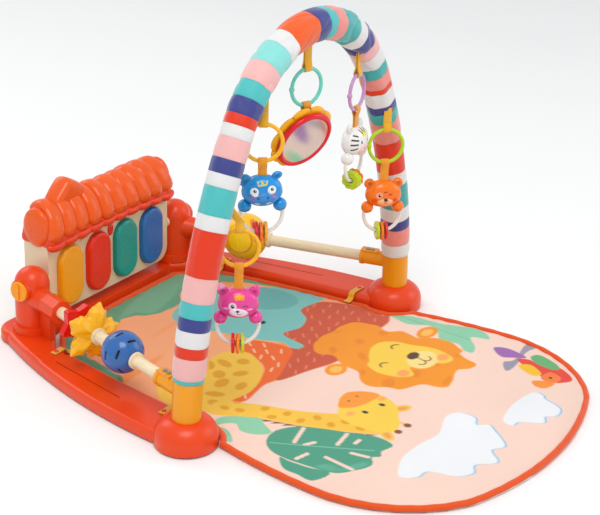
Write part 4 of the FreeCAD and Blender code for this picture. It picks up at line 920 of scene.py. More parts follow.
# it lies on the floor with slow waves, and small puckers run in from the binding
waves = ripple(x, yy, 61, 10, 14, 42) * 0.0005
pucker = np.exp(-rim / 0.016) * np.sin(np.arctan2(yy + 0.03, x) * 70 + ripple(x, yy, 62, 5, 20,
    60) * 1.6) * 0.00045
crease = -0.0011 * np.exp(-((ripple(x * 0.8, yy, 63, 7, 9,
                                    26) - 0.2) / 0.10) ** 2) * np.exp(-(((x - 0.1) / 0.14) ** 2 + ((yy + 0.25) / 0.12) ** 2))
z = 0.0034 + 0.0036 * swell + (waves + crease) * swell + pucker
top = np.stack([x, yy, z], -1)
share = np.linspace(1, -1, 7)[None, :]
bottom = np.stack([wide[:, None] * share, np.broadcast_to(y[:, None], (rows, 7)), np.full((rows, 7), 0.0006)],
                  -1)
colours = np.concatenate([print_on(x, yy), np.broadcast_to(srgb(0.90, 0.88, 0.85), (rows, 7, 3))], 1)
points = np.concatenate([top, bottom], 1)
points[0], points[-1] = (0, y[0], 0.003), (0, y[-1], 0.003)
across = np.concatenate([t * 0.24, share[0] * 0.24, [-0.24]])
uv = np.stack([np.broadcast_to(y[:, None], (rows, cols + 8)), np.broadcast_to(across, (rows, cols + 8))], -1)
mat = surface("mat_padding", points, "frame", LOOKS["mat"], wrap=(False, True), poles=(True, True), uv=uv,
              paint=colours,
              slot="printed_mat", replaces=("play_mat",))

ring = np.concatenate([edge, (edge * (-1, 1))[::-1][1:-1]])
ring = resampled(ring, 900, closed=True)
normal = np.roll(ring, -1, 0) - np.roll(ring, 1, 0)
normal = unit(np.stack([normal[:, 1], -normal[:, 0]], -1))
middle = ring - ring.mean(0)
normal *= np.sign(np.einsum("ij,ij->i", normal, middle))[:, None]
for _ in range(30):
    normal = unit(normal + np.roll(normal, 1, 0) + np.roll(normal, -1, 0))
line = ring - normal * BIND
bound = sweep(np.column_stack([line, 0.0042 + 0.0002 * np.sin(np.arange(900) * 0.5)]), 0.0037, 14,
              closed=True, squash=(1.12, 1.0))
bound[..., 2] = bound[..., 2].clip(0.0003)
run = np.linspace(0, 2.05, 901)
uv = np.stack(np.meshgrid(run, np.linspace(0, 0.025, 15), indexing="ij"), -1)
piping = surface("mat_binding", bound, "frame", LOOKS["piping"], wrap=(True, True), uv=uv,
                 slot="orange_piping", replaces=("mat_piping",))


def ribbon(name, path, across, width, thick, body, look, closed=False, **more):
    """A flat tape: its path in the middle of its thickness, its width along a fixed direction."""
    path = resampled(np.asarray(path, float), more.pop("count", 40), closed)
    along = np.roll(path, -1, 0) - np.roll(path, 1, 0) if closed else np.gradient(path, axis=0)
    across = unit(across)
    up = unit(np.cross(across, unit(along)))
    corner = [(-0.5, 0.35), (-0.47, 0.5), (0, 0.56), (0.47, 0.5), (0.5, 0.35), (0.5, -0.35), (0.47, -0.5),
              (0, -0.56), (-0.47, -0.5), (-0.5, -0.35)]
    section = np.array(corner)
    pts = path[:, None] + across * section[None, :, :1] * width + up[:, None] * section[None, :, 1:] * thick
    run = np.concatenate([[0], np.cumsum(np.linalg.norm(np.diff(path, axis=0), axis=1))])
    if closed:
        run = np.append(run, run[-1] + np.linalg.norm(path[0] - path[-1]))
        uvs = np.stack(np.meshgrid(run, np.append(section[:, 0], section[0, 0]) * width, indexing="ij"), -1)
        return surface(name, pts, body, look, wrap=(True, True), uv=uvs, **more)
    first = np.broadcast_to(pts[0].mean(0), pts[0].shape)[None]
    last = np.broadcast_to(pts[-1].mean(0), pts[-1].shape)[None]
    run = np.concatenate([[0], run, [run[-1]]])
    uvs = np.stack(np.meshgrid(run, np.append(section[:, 0], section[0, 0]) * width, indexing="ij"), -1)
    return surface(name, np.concatenate([first, pts, last]), body, look, poles=(True, True), uv=uvs, **more)


rail_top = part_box("rear_crossbar")[1][2] + 0.003
for side, sign in (("left", -1), ("right", 1)):
    for k, (px, py, riser) in enumerate(((0.218, 0.046, 0.1960), (0.182, 0.248, 0.1655))):
        path = [(riser - 0.011, py, 0.0088), (riser - 0.003, py, 0.0092), (riser + 0.0006, py, 0.0125),
                (riser + 0.0010, py, rail_top - 0.001),
                (riser + 0.0045, py, rail_top + 0.0014), (px - 0.004, py, rail_top + 0.0012),
                (px + 0.006, py, rail_top + 0.0010)]
        path = np.array(path) * (sign, 1, 1)
        loop = ribbon(f"mat_loop_{side}_{k + 1}", path, (0, 1, 0), 0.0088, 0.0013, "frame", LOOKS["webbing"],
                      slot="yellow_webbing", count=36,
                      replaces=("mat_loops",) if (side, k) == ("left", 0) else ())
        tt = np.linspace(0, math.pi / 2, 8)
        lift = np.sin(tt) * 0.0031
        rad = np.cos(tt) ** 0.6 * 0.0031 + 0.00002
        aa = np.linspace(0, 2 * math.pi, 20, endpoint=False)
        button = np.stack([px * sign + rad[:, None] * np.cos(aa), py + rad[:, None] * np.sin(aa),
                           rail_top + 0.0015 + lift[:, None] * 0.7 + 0 * aa], -1)
        base = np.array([[[px * sign, py, rail_top + 0.0010]] * 20])
        surface(f"loop_peg_{side}_{k + 1}", np.concatenate([base, button]), "frame", LOOKS["frame_shell"],
                poles=(True, True), slot="frame_shell")
print("mat, binding and loops ready")

# %% [markdown]
# ## The piano's roof, lamp and dots
# The roof is a bowed hood with ten fat tiles that fan out from the middle, a beaded eave and a gabled
# chimney.

# %% The piano's roof
PROFILE = resampled(rounded(np.array([
    (0.3040, 0.1235), (0.3085, 0.148), (0.3190, 0.1660), (0.3340, 0.1745), (0.3485, 0.162), (0.3550, 0.140),
    (0.3562, 0.1235), (0.330, 0.1235)]), 10), 72, True)
u = np.linspace(-1, 1, 61)
x_hood = 0.1245 * np.sin(u * math.pi / 2)
close = (1 - np.abs(u) ** 12) ** 0.5
core = np.array([0.331, 0.138])
section = core + (PROFILE[None] - core) * (0.70 + 0.30 * close)[:, None, None]
hood = np.concatenate([np.broadcast_to(x_hood[:, None, None], (61, 72, 1)), section], -1)
hood = np.concatenate([np.broadcast_to([x_hood[0], *core], (1, 72, 3)), hood,
                       np.broadcast_to([x_hood[-1], *core], (1, 72, 3))])
surface("roof_hood", hood, "piano", LOOKS["roof_trim"], poles=(True, True), slot="roof_shell",
        replaces=("roof_cover",))

rise = resampled(np.array([(0.3060, 0.1300), (0.3085, 0.1460), (0.3145, 0.1590), (0.3235, 0.1685),
                           (0.3345, 0.1722), (0.3450, 0.1680), (0.3520, 0.1570)]), 60)
for _ in range(6):
    rise[1:-1] = (rise[:-2] + 2 * rise[1:-1] + rise[2:]) / 4
for k in range(10):
    fan = (k - 4.5) / 4.5
    v = np.linspace(0, 1, 60)
    swing = 0.1135 * fan * (1 - v) ** 1.3 + 0.1000 * fan * (1 - (1 - v) ** 1.3)
    path = np.column_stack([swing, rise])
    along = unit(np.gradient(np.column_stack([0 * v, rise]), axis=0))
    over = np.stack([0 * v, -along[:, 2], along[:, 1]], -1)
    # half width and height swell from a round tip at the eave: w * sqrt(1 - (1 - v / 0.15)^2)
    tip = np.sqrt(1 - (1 - np.minimum(v / 0.15, 1)) ** 2) * np.sqrt(1 - (1 - np.minimum((1 - v) / 0.12,
        1)) ** 2)
    width = (0.0146 - 0.0022 * v) * tip.clip(0.02)
    height = (0.0090 + 0.0012 * math.cos(k * 1.7)) * (0.85 + 0.15 * np.cos(v * 3)) * tip.clip(0.02)
    turn_a = np.linspace(0, 2 * math.pi, 32, endpoint=False)
    ca, sa = np.sign(np.cos(turn_a)) * abs(np.cos(turn_a)) ** 0.85, np.sin(turn_a)
    tile = path[:, None] + (np.array([1.0, 0, 0]) * (width[:, None] * ca)[..., None]
                            + over[:, None] * (height[:, None] * sa)[..., None])
    # each tile leans over its neighbour, so one flank stands proud
    tile += over[:, None] * (0.0016 * ca * (1 if fan > 0 else -1) * tip[:, None])[..., None]
    surface(f"roof_tile_{k + 1:02d}", tile, "piano", LOOKS["roof_shell"], poles=(True, True),
            slot="roof_shell")
xx = np.linspace(-0.1245, 0.1245, 281)
scallop = np.abs(np.sin((xx / 0.249 + 0.5) * math.pi * 10)) ** 0.7
eave = np.column_stack([xx, 0.3062 - 0.0010 * scallop,
                        0.1250 + 0.0040 * np.cos(xx / 0.249 * math.pi) - 0.0022 * scallop])
rod("roof_eave", eave, 0.0048 + 0.0014 * scallop, "piano", LOOKS["roof_trim"], 16, slot="roof_shell")
for side in (-1, 1):
    cheek = puff((0.0215, 0.0265), 0.0075, 40, 64, front=2.6, edge=2.4)
    cheek = placed(cheek, (side * 0.1225, 0.3300, 0.1470), (0, -side, 0))
    surface("roof_end_" + ("left" if side < 0 else "right"), cheek, "piano", LOOKS["roof_shell"],
            poles=(True, True), slot="roof_shell")
gable = rounded(np.array([(-0.0940, 0.1680), (-0.0660, 0.1640), (-0.0385, 0.1690), (-0.0360, 0.1790),
                          (-0.0400, 0.1880), (-0.0560, 0.1985), (-0.0660, 0.2025),
                          (-0.0745, 0.1985), (-0.0900, 0.1840), (-0.0965, 0.1750)]), 9)
depth_t = np.linspace(0, math.pi, 34)
mid = gable.mean(0)
scale = (np.sin(depth_t).clip(0) ** 0.32)[:, None, None]
gy = 0.3330 - 0.0140 * np.cos(depth_t)
block = mid + (gable[None] - mid) * scale - (0, 0.0035)
chimney = np.stack([block[..., 0], np.broadcast_to(gy[:, None], block.shape[:2]), block[..., 1]], -1)
surface("roof_chimney", chimney, "piano", LOOKS["roof_shell"], poles=(True, True), slot="roof_shell")

lens_lo, lens_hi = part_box("lamp_lens")
lens_z = (lens_lo[2] + lens_hi[2]) / 2
drop = puff((0.0056, 0.0105), 0.0034, 34, 48, outline=lambda t_: 1 - 0.28 * np.clip(np.sin(t_), 0, 1) ** 2)
surface("lamp_drop", placed(drop, (0, lens_lo[1] + 0.0036, lens_z - 0.001)), "piano", LOOKS["lens"],
        poles=(True, True), slot="red_lens",
        replaces=("lamp_lens",))
key_gap = (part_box("key_red")[0][0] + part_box("key_red")[1][0]) / 2 - (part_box("key_yellow")[0][0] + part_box("key_yellow")[1][0]) / 2
face_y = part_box("piano_front")[0][1]
for cluster, cx in (("left", -key_gap), ("right", key_gap * 2)):
    for k in range(7):
        reach = 0 if k == 0 else 0.0052
        dot = puff((0.0019, 0.0019), 0.0011, 12, 18)
        at = (cx + reach * math.cos(k * math.pi / 3), face_y, 0.1180 + reach * math.sin(k * math.pi / 3))
        surface(f"panel_dot_{cluster}_{k + 1}", placed(dot, at), "piano", LOOKS["panel_shell"],
                poles=(True, True), slot="panel_shell")
print("roof, lamp and dots ready")

# %% [markdown]
# ## Spinners
# Each spinner is a closed ring round its bar: r runs from the bore out to R(angle) and back, then down the
# bore.


# %% Spinners
def around_bar(outer, depth, bore, body, name, look, nu=60, nv=120, front=2.3, edge=2.2, carve=None, **more):
    """A closed ring of section r = bore + (R(a) - bore) sin(t)^(2/front), y = -depth cos(t)^(2/edge)."""
    joint = JOINTS[name + "_spin"] if name + "_spin" in JOINTS else None
    t_ = np.linspace(0.0, math.pi, nu)[:, None]
    a_ = np.linspace(0, 2 * math.pi, nv, endpoint=False)[None, :]
    reach = outer(a_, t_)
    r_ = bore + (reach - bore) * np.sin(t_).clip(0) ** (2 / front)
    y_ = -depth(a_, t_) * np.sign(np.cos(t_)) * np.abs(np.cos(t_)) ** (2 / edge)
    local = np.stack([r_ * np.cos(a_), y_ + 0 * a_, r_ * np.sin(a_)], -1)
    if carve is not None:
        local = carve(local)
    axis_ = unit(joint["axis"])
    x_ = unit(np.cross(axis_, (0, 0, 1)))
    world = placed(local, joint["pos_m"], x_)
    return surface(name + "_shell", world, body, look, wrap=(True, True), replaces=(name,), **more)


BORE = 0.0079
star_r = lambda a_, t_: 0.0350 * (0.895 + 0.105 * np.cos(5 * a_)) + 0.0012 * np.cos(15 * a_)
star_d = lambda a_, t_: 0.0130 * (0.93 + 0.10 * np.cos(5 * a_) * np.sin(t_))


def star_bumps(p):
    """Fat facets: each arm carries two raised lobes, and the skin is pressed in between them."""
    r_ = np.hypot(p[..., 0], p[..., 2])
    a_ = np.arctan2(p[..., 2], p[..., 0])
    lobes = np.cos(5 * a_) * np.exp(-((r_ - 0.022) / 0.008) ** 2) + 0.6 * np.cos(10 * a_ + 0.6) * np.exp(-((r_ - 0.016) / 0.006) ** 2)
    q = p.copy()
    q[..., 1] += np.sign(p[..., 1]) * 0.0012 * lobes
    knobs = np.cos(15 * a_) * np.cos(p[..., 1] * 480) * np.clip((r_ - 0.012) / 0.008, 0, 1)
    q[..., 0] *= 1 + 0.050 * knobs
    q[..., 2] *= 1 + 0.050 * knobs
    grow = 1 + 0.05 * np.cos(5 * a_) * np.cos(p[..., 1] / 0.012 * 1.5)
    q[..., 0] *= grow
    q[..., 2] *= grow
    return q


around_bar(star_r, star_d, BORE, "yellow_star_spinner", "yellow_star", LOOKS["star_yellow"], 70, 200, 1.9,
           1.7, star_bumps, slot="star_yellow")


def ball_shell(name, body, radius, look, paint_at, dent, slot):
    """A ball round its bar: polar angle t from the bore's edge, with dents pressed in and coloured."""
    joint = JOINTS[name + "_spin"]
    first = math.asin(BORE / radius)
    t_ = np.linspace(first, math.pi - first, 200)[:, None]
    a_ = np.linspace(0, 2 * math.pi, 300, endpoint=False)[None, :]
    axis_ = unit(joint["axis"])
    x_ = unit(np.cross(axis_, (0, 0, 1)))
    ball = np.stack([np.sin(t_) * np.cos(a_), -np.cos(t_) + 0 * a_, np.sin(t_) * np.sin(a_)], -1)
    out = placed(ball, (0, 0, 0), x_)
    depth_, colour_ = dent(out, t_, a_), paint_at(out, t_, a_)
    world = np.asarray(joint["pos_m"]) + out * (radius + depth_)[..., None]
    return surface(name + "_shell", world, body, look, wrap=(True, True), paint=colour_, replaces=(name,),
                   slot=slot)


def slots_at(t_, a_, radius):
    """Signed distance to the curved slots: five on each half, along circles round the bar."""
    best = np.full(np.broadcast(t_, a_).shape, -1.0)
    for polar, shift in ((0.95, 0.2), (math.pi - 0.95, 0.8), (math.pi / 2, 0.5)):
        for k in range(5):
            da = (a_ - shift - k * 2 * math.pi / 5 + math.pi) % (2 * math.pi) - math.pi
            along_ = np.maximum(abs(da) * np.sin(polar) * radius - 0.0048, 0)
            best = np.maximum(best, 0.0015 - np.hypot(along_,
                                                      (t_ - polar) * radius + 0.0012 * np.cos(da * 3)))
    return best


def blue_paint(out, t_, a_):
    d = slots_at(t_, a_, 0.0265)
    c = np.broadcast_to(srgb(0.235, 0.415, 0.675), (*d.shape, 3))
    # painted shade: the pressed-in slots are painted near-black, standing in for the shade inside them
    return lay(c, d, (0.035, 0.05, 0.09), 0.0004)


ball_shell("blue_ball", "blue_ball_spinner", 0.0262, plastic("ball_blue_paint", None, 0.16, 0.6, 0.1, 0.04),
           blue_paint, lambda out, t_, a_: -0.0016 * np.clip(slots_at(t_, a_, 0.0265) / 0.0008 + 0.2, 0,
               1) - 0.0004 * np.exp(-((t_ - math.pi / 2) / 0.02) ** 2), "ball_blue")

VIEW = np.array(back)
SIDE, RISE = np.array(right), np.array(up)
DISC = unit(VIEW * 0.95 - SIDE * 0.24 - RISE * 0.22)
WINDOW = unit(VIEW * 0.80 + SIDE * 0.52 + RISE * 0.26)


def cap_distance(out, centre, radius, ball=0.0335):
    """Signed distance, along the ball, to a round cap of that radius about a direction."""
    return radius - np.arccos(np.clip(out @ centre, -1, 1)) * ball


def window_distance(out):
    side_ = unit(np.cross(WINDOW, (0, 0, 1)))
    high_ = np.cross(side_, WINDOW)
    p, q = (out @ side_) * 0.0335, (out @ high_) * 0.0335
    shape_ = blob(p, q, 0, 0, 0.0058, 0.0128)
    return np.where(out @ WINDOW > 0, shape_, -1.0)


def yellow_paint(out, t_, a_):
    c = np.broadcast_to(srgb(1.0, 0.80, 0.20), (*out.shape[:2], 3))
    for centre_ in (DISC, -DISC):
        d = cap_distance(out, centre_, 0.0182)
        c = lay(c, 0.0016 - abs(d), (0.93, 0.60, 0.16), 0.0006)
        c = lay(c, d - 0.0016, (1.0, 0.83, 0.26), 0.0006)
    wd = window_distance(out)
    c = lay(c, wd + 0.0022, (0.95, 0.56, 0.16), 0.0005)
    return lay(c, wd, (0.86, 0.15, 0.18), 0.0004)


def yellow_dent(out, t_, a_):
    ridge = sum(np.exp(-(cap_distance(out, c_, 0.0182) / 0.0013) ** 2) for c_ in (DISC, -DISC))
    seam = np.exp(-((out @ unit(np.cross(DISC, (0, 0, 1)))) * 0.0335 / 0.0006) ** 2)
    return 0.0011 * ridge - 0.0018 * np.clip(window_distance(out) / 0.001 + 0.5, 0, 1) - 0.0004 * seam


ball_shell("yellow_ball", "yellow_ball_spinner", 0.0328, LOOKS["ball_yellow"], yellow_paint, yellow_dent,
           "star_yellow")
print("spinners ready")

# %% [markdown]
# ## Hanging toys
# Each toy's frame is its link's pivot: the ring's top wire, with the joint's axis as its x and its own -Y
# in front.

# %% Straps and tabs
TOYS = {"hippo": (0.023, 0.016), "zebra": (0.021, 0.022), "bear": (0.020, 0.024), "kitten": (0.057, 0.027),
        "mirror": (0.030, 0.017)}


def toy_frame(name):
    joint = JOINTS[name + "_link_swing"]
    return np.array(joint["pos_m"], float), unit(joint["axis"])


def loop_path(reach):
    """A tape's side view: down one face, round the wire and back up the other, as (y, z)."""
    half = np.array([(0.0011, reach), (0.0012, reach * 0.55), (0.0014, 0.0080), (0.0030, 0.0044),
                     (0.0039, 0.0010), (0.0036, -0.0018), (0.0020, -0.0037), (0.0, -0.0042)])
    both = np.concatenate([half * (-1, 1), half[::-1][1:]])
    fine = resampled(both, 60)
    for _ in range(5):
        fine[1:-1] = (fine[:-2] + 2 * fine[1:-1] + fine[2:]) / 4
    return fine


for name, (strap, tab) in TOYS.items():
    origin, axis = toy_frame(name)
    yz = loop_path(0.032 if name == "kitten" else strap + 0.009)
    path = placed(np.column_stack([0 * yz[:, 0], yz]), origin, axis)
    # the lowest toy's tape is sewn to the sleeve's side, so it leans over to it
    lean = np.clip(yz[:, 1] - 0.011, 0, 1) * (0.75 if name == "kitten" else 0)
    path += lean[:, None] * np.array([-1.0, 0.35, 0])
    ribbon(name + "_strap", path, axis, 0.0102, 0.0013, "frame", LOOKS["webbing"], slot="yellow_webbing",
           count=70,
           replaces=("toy_straps",) if name == "hippo" else ())
    stitch_z = strap * 0.45 + 0.004
    for row in range(0 if name == "kitten" else 2):
        zz = stitch_z + 0.0022 * row
        for k in range(5):
            xk = (k - 2) * 0.0018
            for face in (-1, 1):
                seg = np.array([(xk - 0.00055, face * 0.0020, zz), (xk + 0.00055, face * 0.0020, zz)])
                rod(f"{name}_stitch_{row}{k}{'a' if face < 0 else 'b'}",
                    placed(resampled(seg, 4), origin, axis), 0.00022, "frame", LOOKS["thread"], 6)
    low = np.array(JOINTS[name + "_toy_swing"]["pos_m"], float)
    yz = loop_path(tab + (0.006 if name == "mirror" else 0.0035)) * (1, -1)
    path = placed(np.column_stack([0 * yz[:, 0], yz]), low, axis)
    ribbon(name + "_tab_tape", path, axis, 0.0102, 0.0013, name + "_toy", LOOKS["webbing_amber"],
           slot="yellow_webbing", count=70,
           replaces=("mirror_tab",) if name == "mirror" else ())

# %% [markdown]
# ### Heads
# A head is a fat pillow. Its features are painted by signed distance and pressed or raised by the same
# distance.


# %% Heads
def face_of(name):
    """The face's features, back to front: (signed distance function, colour, lift in metres)."""
    e = lambda cx, cy, rx, ry=None, turn_=0: (lambda x_,
                                              z_: blob(x_, z_, cx / 1000, cy / 1000, rx / 1000,
                                                       (ry or rx) / 1000, turn_))
    l = lambda ax_, ay_, bx_, by_, w_: (lambda x_, z_: stroke(x_, z_, (ax_ / 1000, ay_ / 1000),
        (bx_ / 1000, by_ / 1000), w_ / 1000))
    if name == "hippo":
        return [(e(0, -8.5, 17.5, 9), (0.27, 0.55, 0.82), 0.0026),
                (e(-9.5, 2.5, 4.9), (0.95, 0.96, 0.97), 0.0009),
                (e(10.5, 4.0, 4.9), (0.95, 0.96, 0.97), 0.0009),
                (e(-9.0, 3.8, 1.9), (0.10, 0.11, 0.16), 0.0003),
                (e(11.0, 5.3, 1.9), (0.10, 0.11, 0.16), 0.0003), (e(-8.4, 4.5, 0.6), (1, 1, 1), 0),
                (e(11.6, 6.0, 0.6), (1, 1, 1), 0),
                (e(-12, -4.5, 3.4, 2.2), (0.55, 0.45, 0.68), 0),
                (e(13, -3.0, 3.4, 2.2), (0.55, 0.45, 0.68), 0),
                (e(-5.5, -5.0, 1.3, 2.0, 20), (0.17, 0.35, 0.62), -0.0006),
                (e(5.5, -4.4, 1.3, 2.0, -20), (0.17, 0.35, 0.62), -0.0006),
                (l(-8.5, -11.5, -4.5, -12.5, 1.6), (0.82, 0.90, 0.90), 0),
                (l(4.5, -12.0, 8.5, -10.8, 1.6), (0.82, 0.90, 0.90), 0),
                (l(-4.5, 9.5, 4.5, 10.5, 1.5), (0.90, 0.86, 0.25), 0.0004),
                (l(-4.5, 9.5, -5.6, 13.6, 1.3), (0.90, 0.86, 0.25), 0.0004),
                (l(-1.6, 10, 0.0, 13.8, 1.3), (0.90, 0.86, 0.25), 0.0004),
                (l(4.5, 10.5, 5.8, 14.0, 1.3), (0.90, 0.86, 0.25), 0.0004),
                (l(0, 13.6, 1.8, 10.2, 1.3), (0.90, 0.86, 0.25), 0.0004)]
    if name == "kitten":
        return [(e(-7.2, 0.8, 4.6, 4.8), (0.96, 0.86, 0.92), 0.0004),
                (e(0.0, -7.2, 10.8, 5.6, -6), (0.96, 0.88, 0.93), 0.0024),
                (e(-7.0, 1.2, 2.1, 2.5), (0.13, 0.12, 0.16), 0.0003),
                (e(-6.4, 2.2, 0.7), (1, 1, 1), 0), (l(4.6, 0.6, 8.0, 1.8, 1.2), (0.55, 0.15, 0.35), 0),
                (l(8.0, 1.8, 10.6, 0.2, 1.2), (0.55, 0.15, 0.35), 0),
                (e(-1.4, -4.2, 2.1, 1.5), (0.20, 0.13, 0.18), 0.0006),
                (l(-1.4, -5.6, -1.2, -8.2, 0.7), (0.45, 0.25, 0.35), 0),
                (l(-1.2, -8.2, 2.6, -8.6, 0.8), (0.45, 0.25, 0.35), 0),
                (e(13.2, -3.2, 3.2, 1.3), (0.97, 0.70, 0.86), 0),
                (e(-14.5, -2.0, 2.8, 1.3), (0.97, 0.66, 0.84), 0),
                (e(-3.0, 11.0, 2.4, 3.2, 20), (0.98, 0.62, 0.20), 0.0007),
                (e(0.8, 12.0, 2.4, 3.4, 0), (0.98, 0.70, 0.25), 0.0007),
                (e(4.4, 11.0, 2.3, 3.0, -20), (0.98, 0.62, 0.20), 0.0007)]
    if name == "bear":
        return [(e(0.0, -8.0, 10.2, 5.4), (0.985, 0.74, 0.58), 0.0024),
                (e(-8.2, 1.6, 4.2), (0.985, 0.72, 0.60), 0.0004),
                (e(-7.6, 1.8, 2.0, 2.3), (0.20, 0.10, 0.12), 0.0003),
                (e(-6.9, 2.7, 0.7), (1, 1, 1), 0), (l(4.4, 2.0, 8.4, 3.6, 1.3), (0.70, 0.15, 0.10), 0),
                (l(4.6, 3.8, 7.4, 2.0, 1.0), (0.70, 0.15, 0.10), 0),
                (l(-1.8, 6.0, 1.8, 6.4, 1.5), (0.66, 0.18, 0.08), 0),
                (e(0, -4.0, 2.7, 1.9), (0.25, 0.13, 0.12), 0.0007),
                (l(0, -5.6, 0, -8.4, 0.7), (0.60, 0.30, 0.22), 0),
                (l(-2.6, -9.2, 0, -8.4, 0.8), (0.60, 0.30, 0.22), 0),
                (l(0, -8.4, 2.6, -9.2, 0.8), (0.60, 0.30, 0.22), 0),
                (e(-14.0, -5.5, 3.6, 3.0), (0.93, 0.33, 0.18), 0),
                (e(13.6, -6.0, 3.6, 3.0), (0.93, 0.33, 0.18), 0)]
    dark = (0.14, 0.14, 0.15)
    marks = [(e(0, -9.0, 12.5, 7.0), (0.93, 0.80, 0.79), 0.0026),
             (e(0, 11, 5.0, 4.2), (0.93, 0.90, 0.42), 0.0003)]
    for side in (-1, 1):
        marks += [(l(side * 13, 10, side * 21, 13, 1.9), dark, 0),
                  (l(side * 14, 5, side * 23, 7, 2.1), dark, 0),
                  (l(side * 15, 0, side * 24, 0.5, 2.1), dark, 0),
                  (l(side * 15, -5, side * 23, -6.5, 1.9), dark, 0),
                  (e(side * 8.2, 1.5, 2.6, 3.2), (0.97, 0.97, 0.98), 0.0006),
                  (e(side * 8.2, 1.8, 1.8, 2.3), dark, 0.0003),
                  (e(side * 7.6, 2.7, 0.6), (1, 1, 1), 0),
                  (e(side * 4.2, -6.5, 1.0, 1.6), (0.55, 0.40, 0.42), -0.0004)]
    return marks + [(l(-5, -12, 5, -12, 0.9), (0.50, 0.36, 0.38), 0),
                    (l(-5.5, 15.5, -3.5, 12, 1.8), dark, 0.0004), (l(0, 16.8, 0, 14, 1.8), dark, 0.0004),
                    (l(5.5, 15.5, 3.5, 12, 1.8), dark, 0.0004)]


SKINS = {"hippo": (0.235, 0.575, 0.835), "zebra": (0.945, 0.945, 0.935), "bear": (0.955, 0.505, 0.145),
         "kitten": (0.885, 0.325, 0.605)}
EARS = {  # place, half sizes, lean and depth in mm for the left and the right ear
    "hippo": ((-19.5, 12.0, 7.8, 7.4, 0, 5.5), (17.5, 16.0, 7.0, 4.0, 28, 3.4)),
    "zebra": ((-15.0, 17.0, 4.4, 7.6, 14, 4.0), (15.0, 17.0, 4.4, 7.6, -14, 4.0)),
    "bear": ((-18.8, 13.5, 7.0, 6.8, 0, 5.0), (18.8, 13.5, 7.0, 6.8, 0, 5.0)),
    "kitten": ((-18.0, 14.5, 6.6, 7.2, 28, 4.6), (18.2, 13.5, 6.8, 6.6, -20, 4.6)),
}


# a darker copy of a colour, for the painted shade in the ears' hollows
def hollow_shade(colour, factor):
    return tuple(min(1.0, c * factor) for c in colour)


